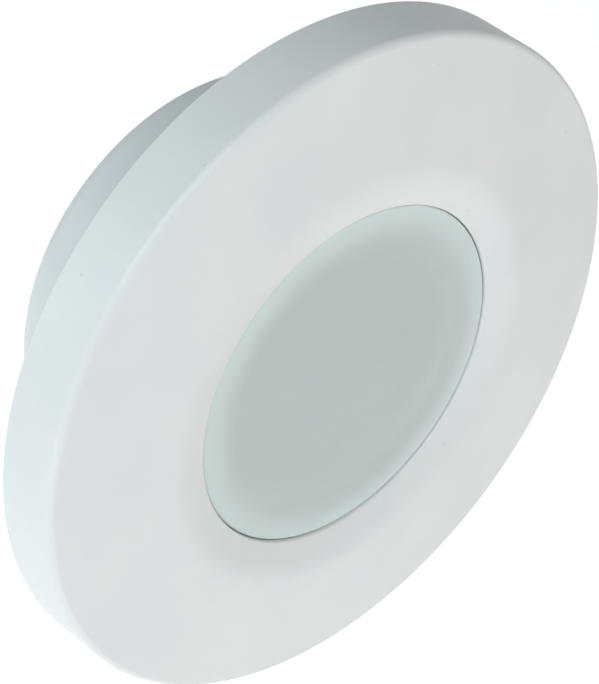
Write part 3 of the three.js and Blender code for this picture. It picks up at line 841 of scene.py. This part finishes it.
def makeLens():
    front, back = extent("lens_glass")[:2]
    setup = lensSetup
    flangeFront = back - setup["flangeThickness"]
    lens = turned("lens_toughened_glass", [
        (0, front, 0),
        (setup["step"], front, setup["bevel"]),
        (setup["step"], flangeFront, 0.3),
        (setup["flange"], flangeFront, 0.4),
        (setup["flange"], back, 0.4),
        (0, back, 0),
    ])
    for face in lens.data.polygons:
        face.material_index = 1 if face.center.y > (front + setup["bevel"] + 0.1) * mm else 0
    return lens


def makeLensGasket():
    front, back, outer = extent("lens_gasket")
    setup = lensSetup
    inner = outer - setup["gasketWall"]
    frontLip, backLip = setup["lips"]
    wide, narrow = setup["grooveHalf"]
    grooves = []
    for middle in (front + setup["grooveIn"], back - setup["grooveIn"]):
        grooves += [(outer, middle - wide, 0.15), (outer - setup["groove"], middle - narrow, 0.15),
                    (outer - setup["groove"], middle + narrow, 0.15), (outer, middle + wide, 0.15)]
    return turned("lens_gasket_silicone", [
        (setup["gasketMouth"], front, 0.35),
        (outer, front, 0.5),
        *grooves,
        (outer, back, 0.5),
        (setup["gasketSeal"], back, 0.35),
        (setup["gasketSeal"], back - backLip, 0.35),
        (inner, back - backLip, 0.15),
        (inner, front + frontLip, 0.15),
        (setup["gasketMouth"], front + frontLip, 0.35),
    ], stepAngle=20)


finish(makeLens(), "lamp_unit", "glass_frosted", [glass, frost], "lens_glass")
finish(makeLensGasket(), "lamp_unit", "silicone_white", silicone, "lens_gasket")
print("lens and gasket made")


# ---- clamp ring with its screws and the brass inserts they go into
clampSetup = {
    "inner": 43.2,
    "step": 49.4,
    "sheet": 1.5,
    "hole": 2.25,
    "screw": {"head": 3.8, "height": 2.2, "shank": 1.95, "length": 7.5, "pitch": 0.7},
    "insert": (2.05, 2.9),  # radius of the bore and of the outside
    "insertGroove": (0.6, 0.35),  # half width and depth of the groove round the middle
    "knurls": 28,
    "knurlDepth": 0.22,
    "play": 0.1,  # the CAD's gap under a screw's head
}


def makeClampRing():
    front, back, outer = extent("lens_clamp_ring")
    setup = clampSetup
    sheet = setup["sheet"]
    seat = back - sheet
    ring = turned("lens_clamp_ring_pressed", [
        (setup["inner"], front, 0.45),
        (setup["step"], front, 1.9),
        (setup["step"], seat, 0.45),
        (outer, seat, 0.3),
        (outer, back, 0.3),
        (setup["step"] - sheet, back, 1.9),
        (setup["step"] - sheet, front + sheet, 0.45),
        (setup["inner"], front + sheet, 0.45),
    ])
    hole = rod("hole", setup["hole"], front, back + 1)
    return combine(ring, allRound(hole, clampCircle, clampAngles), "DIFFERENCE"), seat


def makeInsert():
    front, back = extent("threaded_insert_2")[:2]
    bore, outer = clampSetup["insert"]
    points = []
    for k in range(clampSetup["knurls"] * 2):
        turn = k * math.pi / clampSetup["knurls"]
        radius = outer - (clampSetup["knurlDepth"] if k % 2 else 0)
        points.append((radius * math.cos(turn), radius * math.sin(turn)))
    insert = prism("threaded_insert_brass", points, front, back)
    half, depth = clampSetup["insertGroove"]
    start, end = (front + back) / 2 - half, (front + back) / 2 + half
    insert = combine(insert, [hoop("groove", outer - depth, outer + 1, start, end, 24)], "DIFFERENCE")
    return combine(insert, [rod("bore", bore, front - 1, back + 1, 24)], "DIFFERENCE")


def finishSet(name, pieces, body, slot, material, node):
    # numbers a set of like pieces and finishes each for its own CAD node
    for k, piece in enumerate(pieces, start=1):
        piece.name = piece.data.name = f"{name}_{k}"
        finish(piece, body, slot, material, f"{node}_{k}")


clampRing, clampSeat = makeClampRing()
finish(clampRing, "lamp_unit", "stainless_steel", turnedSteel, "lens_clamp_ring")
clampScrew = makeScrew("screw", clampSetup["screw"], clampSeat - clampSetup["play"])
clampScrews = allRound(clampScrew, clampCircle, clampAngles)
finishSet("clamp_screw_M4", clampScrews, "lamp_unit", "stainless_steel", turnedSteel, "clamp_screw")
inserts = allRound(makeInsert(), clampCircle, clampAngles)
finishSet("insert_knurled", inserts, "lamp_unit", "brass", brass, "threaded_insert")
print("lens clamp made")


# ---- front body: the flange on the wall, the lens pocket and the clamp's bosses
bodySetup = {
    "seat": 37.5,
    "rebate": 41.3,
    "rebateDepth": 1.2,
    "pocket": 47.9,
    "pocketWall": 3.1,
    "flangeFront": -4.6,
    "flangeBack": -1.6,
    "seatFront": -7.7,
    "seatBack": -4.3,
    "spigot": (46.5, 49.1),
    "boss": 4.5,
    "web": (49.8, 53.8, 1.2),  # inner end, outer end and half width
    "rib": (50.25, 74.75, 0.9),
    "ribFront": -7.6,
    "ribAngles": (15, 75, 105, 165, 195, 255, 285, 345),
    "insertHole": (3.05, 7.5),
    "wallHole": (2.6, 4.6),  # radius of the hole and of its countersink
    "sinkDepth": 2,
    "clipHole": 1.35,
    "foam": (55.4, 3.2),  # inner radius of the wall gasket and radius of its holes
}


def makeFrontBody():
    front, back, outer = extent("front_body")
    setup = bodySetup
    flangeFront, flangeBack = setup["flangeFront"], setup["flangeBack"]
    wall = setup["pocket"] + setup["pocketWall"]
    spigotInner, spigotOuter = setup["spigot"]
    body = turned("front_body_moulding", [
        (setup["seat"], setup["seatFront"] + setup["rebateDepth"], 0.3),
        (setup["rebate"], setup["seatFront"] + setup["rebateDepth"], 0.2),
        (setup["rebate"], setup["seatFront"], 0.2),
        (setup["pocket"], setup["seatFront"], 0.3),
        (setup["pocket"], front, 0.35),
        (wall, front, 0.5),
        (wall, flangeFront, 0.8),
        (outer, flangeFront, 0.6),
        (outer, flangeBack, 0.6),
        (spigotOuter, flangeBack, 0.4),
        (spigotOuter, back, 0.5),
        (spigotInner, back, 0.5),
        (spigotInner, setup["seatBack"], 0.8),
        (setup["seat"], setup["seatBack"], 0.3),
    ])
    buried = flangeFront + 1
    boss = rod("boss", setup["boss"], front, buried, edge=0.4)
    inner, end, half = setup["web"]
    web = box("web", (inner, front, -half), (end, buried, half), 0.2)
    added = allRound(boss, clampCircle, clampAngles)
    added += allRound(web, 0, clampAngles)
    inner, end, half = setup["rib"]
    rib = box("rib", (inner, setup["ribFront"], -half), (end, buried, half), 0.3)
    added += allRound(rib, 0, setup["ribAngles"])
    body = combine(body, added, "UNION", crossing=True)
    radius, depth = setup["insertHole"]
    cuts = allRound(rod("hole", radius, front - 1, front + depth), clampCircle, clampAngles)
    radius, sink = setup["wallHole"]
    countersink = turned("hole", [
        (0, flangeFront - 1, 0), (sink + 1, flangeFront - 1, 0),
        (radius, flangeFront + setup["sinkDepth"], 0.3),
        (radius, flangeBack + 1, 0), (0, flangeBack + 1, 0)], smallTurnSteps)
    cuts += allRound(countersink, fixingCircle, wallAngles)
    clipHole = rod("hole", setup["clipHole"], flangeFront - 1, flangeBack + 1, 24)
    cuts += allRound(clipHole, fixingCircle, clipAngles)
    return combine(body, cuts, "DIFFERENCE")


def makeWallGasket():
    front, back, outer = extent("wall_gasket")
    inner, radius = bodySetup["foam"]
    sheet = hoop("wall_gasket_foam", inner, outer, front, back, edge=0.2)
    hole = rod("hole", radius, front - 1, back + 1)
    return combine(sheet, allRound(hole, fixingCircle, wallAngles), "DIFFERENCE")


finish(makeFrontBody(), "lamp_unit", "abs_white", whiteAbs, "front_body")
finish(makeWallGasket(), "lamp_unit", "foam_dark", foam, "wall_gasket")
print("front body and wall gasket made")


# ---- trim clips that hold the face disc's studs, and their screws
clipSetup = {
    # one arm from its mouth to its foot: distance from the middle, depth behind the mouth, roundness
    "outside": ((4.0, 0, 0.25), (3.1, 1.2, 1.4), (3.9, 4.0, 2.4), (3.3, 7.0, 0.95)),
    "inside": ((3.4, 0, 0.25), (2.5, 1.2, 0.8), (3.3, 4.0, 1.8), (2.9, 6.4, 0.4)),
    "width": 4,  # half of it
    "hole": 1.35,
    "screw": {"head": 2.1, "height": 1.0, "shank": 1.2, "length": 3.4, "pitch": 0.6},
    "screwSeat": 6.3,  # its head's seat, behind the mouth
}


clipFront = extent("trim_clip_1")[0]


def makeTrimClip():
    outside, inside = clipSetup["outside"], clipSetup["inside"]
    corners = [*outside, *[(-u, y, r) for u, y, r in outside[::-1]]]
    corners += [*[(-u, y, r) for u, y, r in inside], *inside[::-1]]
    outline = [(point.x, point.y) for point in rounded(corners)]
    half = clipSetup["width"]
    clip = prism("trim_clip_spring_steel", outline, -half, half)
    # the prism stands along the axis: lay it over so that the strip's width runs outwards
    clip.data.transform(Matrix(((0, 1, 0, 0), (0, 0, 1, clipFront * mm), (1, 0, 0, 0), (0, 0, 0, 1))))
    hole = rod("hole", clipSetup["hole"], clipFront + 4, clipFront + 9, 24)
    return combine(clip, [hole], "DIFFERENCE")


clips = allRound(makeTrimClip(), fixingCircle, clipAngles)
finishSet("trim_clip_spring", clips, "lamp_unit", "stainless_steel", sheetSteel, "trim_clip")
clipScrew = makeScrew("screw", clipSetup["screw"], clipFront + clipSetup["screwSeat"])
clipScrews = allRound(clipScrew, fixingCircle, clipAngles)
finishSet("clip_screw_pan", clipScrews, "lamp_unit", "stainless_steel", sheetSteel, "clip_screw")
print("trim clips made")


# ---- rear cup: the wall cup, the well for the lamp socket and the seat for the cable gland
cupSetup = {
    "radius": 52.4,
    "corner": 4.5,
    "wall": 3,
    "well": 18.5,
    "depth": 36.5,
    "gland": 10.2,
    "glandDrop": 32,
    "glandSeat": 13.6,  # radius of the flat that the gland's washer presses on
    "post": (24, 4.0, 1.3),  # distance from the middle, radius and pilot hole of a bracket post
    "postFront": 27.7,
    "blockUp": 32,
    "seatDepth": 0.15,
    "pilotDepth": 7,
    "gate": 2.6,  # radius of the mark where the plastic came in
    "gateDepth": 0.5,
}


def makeRearCup():
    mouth, wellBack = extent("rear_cup")[:2]
    setup = cupSetup
    back = setup["depth"]
    floor = back - setup["wall"]
    inside = setup["radius"] - setup["wall"]
    wellInside, wellFloor = setup["well"] - setup["wall"], wellBack - setup["wall"]
    cup = turned("rear_cup_moulding", [
        (0, wellFloor, 0),
        (wellInside, wellFloor, 1),
        (wellInside, floor, 1),
        (inside, floor, 2.5),
        (inside, mouth, 0.3),
        (setup["radius"], mouth, 0.3),
        (setup["radius"], back, setup["corner"]),
        (setup["well"], back, 1.4),
        (setup["well"], wellBack, 2.2),
        (setup["gate"] + setup["gateDepth"], wellBack, 0.2),
        (setup["gate"], wellBack - setup["gateDepth"], 0.2),
        (0, wellBack - setup["gateDepth"], 0),
    ])
    spacing, radius, pilot = setup["post"]
    post = rod("post", radius, setup["postFront"], floor + 1, edge=0.3)
    cup = combine(cup, bothSides(post, spacing), "UNION")
    cuts = bothSides(rod("hole", pilot, floor - 1 - setup["pilotDepth"], floor - 1, 24), spacing)
    cuts.append(moved(rod("hole", pilot, floor - 1, floor + 2, 24), z=setup["blockUp"]))
    cuts.append(moved(rod("hole", setup["gland"], back - 6, back + 3, 96), z=-setup["glandDrop"]))
    bottom = back - setup["seatDepth"]
    seat = turned("seat", [
        (0, bottom, 0), (setup["glandSeat"], bottom, 0), (setup["glandSeat"] + 0.3, back + 1, 0),
        (0, back + 1, 0)], 96)
    cuts.append(moved(seat, z=-setup["glandDrop"]))
    return combine(cup, cuts, "DIFFERENCE", crossing=True)


finish(makeRearCup(), "lamp_unit", "abs_white", whiteAbs, "rear_cup")
print("rear cup made")


# ---- reflector and halogen capsule
reflectorSetup = {"mouth": 34.5, "neck": 8.8, "neckPlane": 17, "sheet": 0.9, "steps": 22}
capsuleSetup = {
    "radius": 6,
    "wall": 1.0,
    "tip": 1.6,  # height and about the radius of the sealed tip
    "bulbEnd": 13.5,
    "shoulder": 3.2,  # length of the bulb's turn into the pinch
    "pinch": (5.8, 2.2),  # half width and half thickness
    "pinchFront": 15.5,
    "coil": (0.75, 0.11, 9, 0.5),  # coil's radius, wire's radius, turns and pitch
    "coilPlane": 2.5,
    "coilSteps": 16,  # round each turn
    "leg": (0.22, 4),  # radius, and how far before the capsule's end it stops
}


def makeReflector():
    front, back, rim = extent("reflector")
    setup = reflectorSetup
    mouth, neck, sheet = setup["mouth"], setup["neck"], setup["sheet"]
    length = setup["neckPlane"] - front - sheet
    inner = []
    for k in range(1, setup["steps"]):
        radius = neck + (mouth - neck) * k / setup["steps"]
        rise = (radius ** 2 - neck ** 2) / (mouth ** 2 - neck ** 2)
        inner.append((radius, setup["neckPlane"] - length * rise, 0))
    outer = [(radius + sheet, y, 0) for radius, y, _ in reversed(inner)]
    return turned("reflector_spun_aluminium", [
        (mouth, front, 0.5),
        (rim, front, 0.35),
        (rim, front + sheet, 0.35),
        (mouth + sheet, front + sheet, 0.4),
        *outer,
        (neck + sheet, back, 0.35),
        (neck, back, 0.35),
        *inner,
    ])


def makeCapsule():
    front, back = extent("lamp_capsule")[:2]
    setup = capsuleSetup
    radius, tip, end, shoulder = setup["radius"], setup["tip"], setup["bulbEnd"], setup["shoulder"]
    bulb = turned("lamp_capsule_quartz", [
        (0, front, 0), (tip * 0.8, front + 0.2, 0.4), (tip * 0.9, front + tip, 0.6),
        (radius, front + tip + 0.8, 4.6), (radius, end, 2), (radius - 1.8, end + shoulder, 1),
        (0, end + shoulder, 0)], 64, 8)
    halfWidth, halfThickness = setup["pinch"]
    pinch = box("pinch", (-halfWidth, setup["pinchFront"] - 0.5, -halfThickness),
                (halfWidth, back, halfThickness), 0.9)
    bulb = combine(bulb, [pinch], "UNION")
    inner = radius - setup["wall"]
    hollow = turned("hollow", [
        (0, front + tip + 1.5, 0), (inner, front + tip + 1.5, 4.2), (inner, end, 2), (0, end + 1, 0)], 64, 8)
    bulb = combine(bulb, [hollow], "DIFFERENCE")
    coil, wire, turns, pitch = setup["coil"]
    length, steps = turns * pitch, setup["coilSteps"]
    bm = bmesh.new()
    bmesh.ops.create_circle(bm, segments=8, radius=wire * mm)
    bmesh.ops.rotate(bm, verts=bm.verts, cent=(0, 0, 0), matrix=Matrix.Rotation(math.pi / 2, 3, "X"))
    bmesh.ops.translate(bm, verts=bm.verts, vec=(coil * mm, 0, 0))
    bmesh.ops.spin(
        bm, geom=list(bm.verts) + list(bm.edges), cent=(0, 0, 0), axis=(0, 0, 1),
        dvec=(0, 0, pitch * mm / steps), angle=math.tau * turns, steps=steps * turns, use_duplicate=False)
    bmesh.ops.holes_fill(bm, edges=[edge for edge in bm.edges if edge.is_boundary], sides=0)
    tidyMesh(bm)
    bmesh.ops.translate(bm, verts=bm.verts, vec=(0, setup["coilPlane"] * mm, -length / 2 * mm))
    filament = newPiece("filament", bm)
    thick, short = setup["leg"]
    legs = []
    for side in (-1, 1):
        leg = rod("leg", thick, setup["coilPlane"], back - short, 12)
        legs.append(moved(leg, z=side * (length / 2 - 0.1) * 0.9, x=side * 0.9 * coil))
    metal = joined("metal", [filament, *legs])
    for face in metal.data.polygons:
        face.material_index = 1
    return joined("lamp_capsule_quartz", [bulb, metal])


finish(makeReflector(), "lamp_unit", "reflector_aluminium", aluminium, "reflector")
finish(makeCapsule(), "lamp_unit", "quartz_glass", [quartz, tungsten], "lamp_capsule")
print("reflector and capsule made")


# ---- lamp socket: ceramic on a steel bracket, with its pins and contacts
socketSetup = {
    "pinSpacing": 3.175,
    "pin": 0.6,
    "contact": (0.75, 1.3),
    "slit": (0.25, 4.5),  # half width and depth of the slit in a contact's mouth
    "radius": 8,
    "ear": (14, 5, 4),  # half length, depth and half height of the ears
    "earHole": (11, 1.3),
    "boreEnd": 37.4,
    "bores": (1.5, 1.35),
    "bracket": (29, 7, 2.5),  # half length, half height and roundness of its corners
    "window": (6.3, 2.7),
    "screwHole": 1.5,
    "postSpacing": 24,
    "bracketScrew": {"head": 2.6, "height": 1.8, "shank": 1.15, "length": 5.4, "pitch": 0.6},
    "socketScrew": {"head": 2.4, "height": 1.6, "shank": 1.1, "length": 5.9, "pitch": 0.5},
}


def makeContact():
    front, back = extent("socket_contact_1")[:2]
    inner, outer = socketSetup["contact"]
    tube = turned("socket_contact_brass", [
        (inner + 0.2, front, 0), (outer, front, 0.12), (outer, back, 0.12), (inner, back, 0),
        (inner, front + 0.3, 0)], 32)
    half, depth = socketSetup["slit"]
    slit = box("slit", (-half, front - 1, -3), (half, front + depth, 3), 0)
    return combine(tube, [slit], "DIFFERENCE")


def makeSocket():
    front, back = extent("lamp_socket")[:2]
    setup = socketSetup
    barrel = rod("lamp_socket_steatite", setup["radius"], front, back, 96, 0.6)
    reach, depth, half = setup["ear"]
    ears = box("ears", (-reach, front, -half), (reach, front + depth, half), 0.6)
    socket = combine(barrel, [ears], "UNION")
    bore, tail = setup["bores"]
    spacing, earHole = setup["earHole"]
    cuts = bothSides(rod("hole", bore, front - 1, setup["boreEnd"], 32), setup["pinSpacing"])
    socket = combine(socket, cuts, "DIFFERENCE")
    cuts = bothSides(rod("hole", tail, setup["boreEnd"] - 1, back + 1, 32), setup["pinSpacing"])
    cuts += bothSides(rod("hole", earHole, front - 1, front + depth + 1, 32), spacing)
    return combine(socket, cuts, "DIFFERENCE")


def makeBracket():
    front, back = extent("socket_bracket")[:2]
    setup = socketSetup
    reach, half, corner = setup["bracket"]
    plate = [(-reach, -half, corner), (reach, -half, corner), (reach, half, corner), (-reach, half, corner)]
    strip = prism("socket_bracket_steel", [tuple(point) for point in rounded(plate)], front, back)
    wide, tall = setup["window"]
    cuts = [box("window", (-wide, front - 1, -tall), (wide, back + 1, tall), 0.5)]
    for spacing in (setup["postSpacing"], setup["earHole"][0]):
        cuts += bothSides(rod("hole", setup["screwHole"], front - 1, back + 1, 32), spacing)
    return combine(strip, cuts, "DIFFERENCE")


pinFront, pinBack = extent("lamp_pin_1")[:2]
pins = bothSides(rod("pin", socketSetup["pin"], pinFront, pinBack, 24, 0.25), socketSetup["pinSpacing"])
finishSet("lamp_pin_nickel", pins, "lamp_unit", "stainless_steel", sheetSteel, "lamp_pin")
contacts = bothSides(makeContact(), socketSetup["pinSpacing"])
finishSet("socket_contact_brass", contacts, "lamp_unit", "brass", brass, "socket_contact")
finish(makeSocket(), "lamp_unit", "steatite", steatite, "lamp_socket")
finish(makeBracket(), "lamp_unit", "stainless_steel", sheetSteel, "socket_bracket")
bracketFront = extent("socket_bracket")[0] - clampSetup["play"]
screws = bothSides(
    makeScrew("screw", socketSetup["bracketScrew"], bracketFront), socketSetup["postSpacing"])
finishSet("bracket_screw_pan", screws, "lamp_unit", "stainless_steel", sheetSteel, "bracket_screw")
screws = bothSides(
    makeScrew("screw", socketSetup["socketScrew"], bracketFront), socketSetup["earHole"][0])
finishSet("socket_screw_M2", screws, "lamp_unit", "stainless_steel", sheetSteel, "socket_screw")
print("lamp socket made")


# ---- terminal block above the socket, and the two leads to it
terminalSetup = {
    "up": 32,
    "half": (11, 8.5),
    "tunnel": 1.8,
    "pole": 5.5,
    "tunnelPlane": 28.5,
    "well": 1.9,
    "screwUp": 4.5,
    "fixingHole": 1.5,
    "screw": 1.6,
    "fixingScrew": {"head": 2.4, "height": 1.6, "shank": 1.1, "length": 15.4, "pitch": 0.6},
    "lead": 1.06,  # just inside its CAD tube
    "notch": (0.9, 3, 1.5),  # half width, height and depth of the notch between the two poles
    "thread": (0.3, 0.5),  # depth and pitch of the terminal screws' threads
    "slot": (0.25, 0.8),  # half width and depth of their slots
}


def makeTerminalBlock():
    front, back = extent("terminal_block")[:2]
    setup = terminalSetup
    wide, tall = setup["half"]
    base = box("terminal_block_steatite", (-wide, front, -tall), (wide, back, tall), 0.7)
    tunnel = rod("tunnel", setup["tunnel"], -tall - 1, tall + 1, 48)
    tunnel.data.transform(Matrix.Rotation(math.pi / 2, 4, "X"))  # stands it upright
    cuts = bothSides(moved(tunnel, y=setup["tunnelPlane"]), setup["pole"])
    for up in (-setup["screwUp"], setup["screwUp"]):
        well = rod("well", setup["well"], front - 1, setup["tunnelPlane"] - 1, 48)
        cuts += bothSides(moved(well, z=up), setup["pole"])
    cuts.append(rod("hole", setup["fixingHole"], front - 1, back + 1, 32))
    half, height, depth = setup["notch"]
    cuts.append(box("notch", (-half, front - 1, tall - height), (half, front + depth, 12), 0.2))
    return moved(combine(base, cuts, "DIFFERENCE", crossing=True), z=setup["up"])


def makeTerminalScrews():
    front, back = extent("terminal_screw_1")[:2]
    setup = terminalSetup
    radius = setup["screw"]
    thread, pitch = setup["thread"]
    half, depth = setup["slot"]
    body = threadedRod("screw", radius - thread, radius, pitch, front + depth, back, 32)
    head = rod("head", radius, front, front + 1.2, 32, 0.15)
    slot = box("slot", (-3, front - 1, -half), (3, front + depth, half), 0)
    screw = combine(combine(head, [body], "UNION"), [slot], "DIFFERENCE")
    pieces = []
    for up in (setup["up"] - setup["screwUp"], setup["up"] + setup["screwUp"]):
        pieces += bothSides(moved(copied(screw, "screw"), z=up), setup["pole"])
    bpy.data.objects.remove(screw)
    return pieces


def makeLead(side):
    # out of the socket's back, up inside the well, over its edge and into the terminal block
    start, socketBack = socketSetup["pinSpacing"], extent("lamp_socket")[1]
    pole, plane = terminalSetup["pole"], terminalSetup["tunnelPlane"]
    route = [
        (start, socketBack - 1.5, 0), (start, socketBack + 0.4, 0.1), (3.3, socketBack + 1.8, 2),
        (3.5, socketBack + 1.7, 6), (3.8, socketBack - 0.5, 10.4), (4.2, 35.2, 12.2), (4.6, 31.4, 13.6),
        (5.2, 29.6, 17.5), (pole, plane, 21.5), (pole, plane, 26),
    ]
    curve = bpy.data.curves.new("lead", "CURVE")
    curve.dimensions = "3D"
    curve.bevel_depth = terminalSetup["lead"] * mm
    curve.bevel_resolution = 5
    curve.resolution_u = 6
    curve.use_fill_caps = True
    spline = curve.splines.new("BEZIER")
    spline.bezier_points.add(len(route) - 1)
    for point, (x, y, z) in zip(spline.bezier_points, route):
        point.co = (side * x * mm, y * mm, z * mm)
        point.handle_left_type = point.handle_right_type = "AUTO"
    wire = addObject("lead", curve)
    mesh = bpy.data.meshes.new_from_object(wire.evaluated_get(bpy.context.evaluated_depsgraph_get()))
    bpy.data.objects.remove(wire)
    bm = bmesh.new()
    bm.from_mesh(mesh)
    bpy.data.meshes.remove(mesh)
    tidyMesh(bm)
    return newPiece("lead", bm)


finish(makeTerminalBlock(), "lamp_unit", "steatite", steatite, "terminal_block")
blockFront = extent("terminal_block")[0] - clampSetup["play"]
fixingScrew = makeScrew("terminal_fixing_screw_pan", terminalSetup["fixingScrew"], blockFront)
finish(moved(fixingScrew, z=terminalSetup["up"]), "lamp_unit", "stainless_steel", sheetSteel,
       "terminal_fixing_screw")
finishSet("terminal_screw_slotted", makeTerminalScrews(), "lamp_unit", "brass", brass, "terminal_screw")
leads = [makeLead(side) for side in (-1, 1)]
finishSet("lamp_lead_silicone", leads, "lamp_unit", "silicone_lead", sleeve, "lamp_lead")
print("terminal block and leads made")


# ---- cable gland: body, washer, locknut, sealing bush and nut
glandSetup = {
    "drop": 32,
    "thread": 9.9,
    "root": 9.1,
    "pitch": 1.5,
    "bore": (5.2, 7.6, 8.2),  # radius of the cable's way, of the bush's seat and of its mouth
    "collar": 4.5,  # length of the hexagon on the body
    "acrossFlats": 25,
    "turnedOff": 0.45,  # slope of the hexagons' turned corners
    "nutFlats": 24,
    "washer": 10.1,
    "bushBore": 3.6,
    "bushFront": 7.1,
    "nutThread": (10.15, 0.6),  # radius at its crests, and its depth
    "nutMouth": (5.4, 0.7),  # radius, and how far it flares
    "dome": 5.0,
    "shoulder": 52.0,
}


def makeGlandBody():
    setup = glandSetup
    front, back = extent("gland_body")[:2]
    collarFront = extent("gland_washer")[1] + 0.1
    collarBack = collarFront + setup["collar"]
    start = threadedRod("gland_body_nylon", setup["root"], setup["thread"], setup["pitch"], front, back, 72)
    ends = turned("ends", [
        (0, front, 0), (setup["root"], front, 0), (setup["thread"] + 0.1, front + 1, 0),
        (setup["thread"] + 0.1, back - 1, 0), (setup["root"], back, 0), (0, back, 0)], 72)
    neck = combine(start, [ends], "INTERSECT")
    collar = hexBar("collar", setup["acrossFlats"], collarFront, collarBack, setup["turnedOff"])
    neck = combine(neck, [collar], "UNION")
    small, seat, mouth = setup["bore"]
    bore = turned("bore", [
        (0, front - 1, 0), (small + 0.4, front - 1, 0), (small + 0.4, front, 0), (small, front + 0.4, 0),
        (small, collarFront, 0.2), (seat, collarFront + 1, 0.4), (mouth, back, 0), (mouth, back + 1, 0),
        (0, back + 1, 0)], 72)
    return combine(neck, [bore], "DIFFERENCE")


def makeWasher():
    front, back, outer = extent("gland_washer")
    return hoop("gland_washer_rubber", glandSetup["washer"], outer, front, back, 96, 0.3)


def cutThread(nut, front, back):
    # the thread inside a nut
    bore, depth = glandSetup["nutThread"]
    cutter = threadedRod("thread", bore, bore + depth, glandSetup["pitch"], front, back, 72)
    return combine(nut, [cutter], "DIFFERENCE")


def makeLocknut():
    front, back = extent("gland_locknut")[:2]
    nut = hexBar("gland_locknut_nylon", glandSetup["acrossFlats"], front, back, glandSetup["turnedOff"])
    return cutThread(nut, front - 1, back + 1)


def makeBush():
    front, back, outer = extent("gland_bush")
    inner = glandSetup["bushBore"]
    return turned("gland_bush_rubber", [
        (inner, front, 0.5), (glandSetup["bushFront"], front, 0.5), (outer, back - 2.1, 0.8),
        (outer, back, 0.5), (inner, back, 0.5)], 96)


def makeGlandNut():
    front, back, outer = extent("gland_nut")
    setup = glandSetup
    shoulder = setup["shoulder"]
    nut = turned("gland_nut_nylon", [
        (0, front, 0), (outer - 0.6, front, 0.2), (outer, front + 0.5, 0.2),
        (outer, shoulder - 1, setup["dome"]), (outer - 4.2, back, 1.2), (0, back, 0)], 96)
    flats = hexBar("flats", setup["nutFlats"], front - 1, back + 1)
    nut = cutThread(combine(nut, [flats], "INTERSECT"), front - 1, shoulder)
    inner, flare = setup["nutMouth"]
    mouth = turned("mouth", [
        (0, shoulder - 1, 0), (inner, shoulder - 1, 0), (inner, back - flare, 0),
        (inner + flare, back, 0), (inner + flare, back + 1, 0), (0, back + 1, 0)], 72)
    return combine(nut, [mouth], "DIFFERENCE")


glandParts = (
    (makeGlandBody, "lamp_unit", "nylon_white", nylon, "gland_body"),
    (makeWasher, "lamp_unit", "rubber_black", rubber, "gland_washer"),
    (makeLocknut, "lamp_unit", "nylon_white", nylon, "gland_locknut"),
    (makeBush, "gland_bush", "rubber_black", rubber, "gland_bush"),
    (makeGlandNut, "gland_nut", "nylon_white", nylon, "gland_nut"),
)
for make, body, slot, material, node in glandParts:
    finish(moved(make(), z=-glandSetup["drop"]), body, slot, material, node)
print("cable gland made")
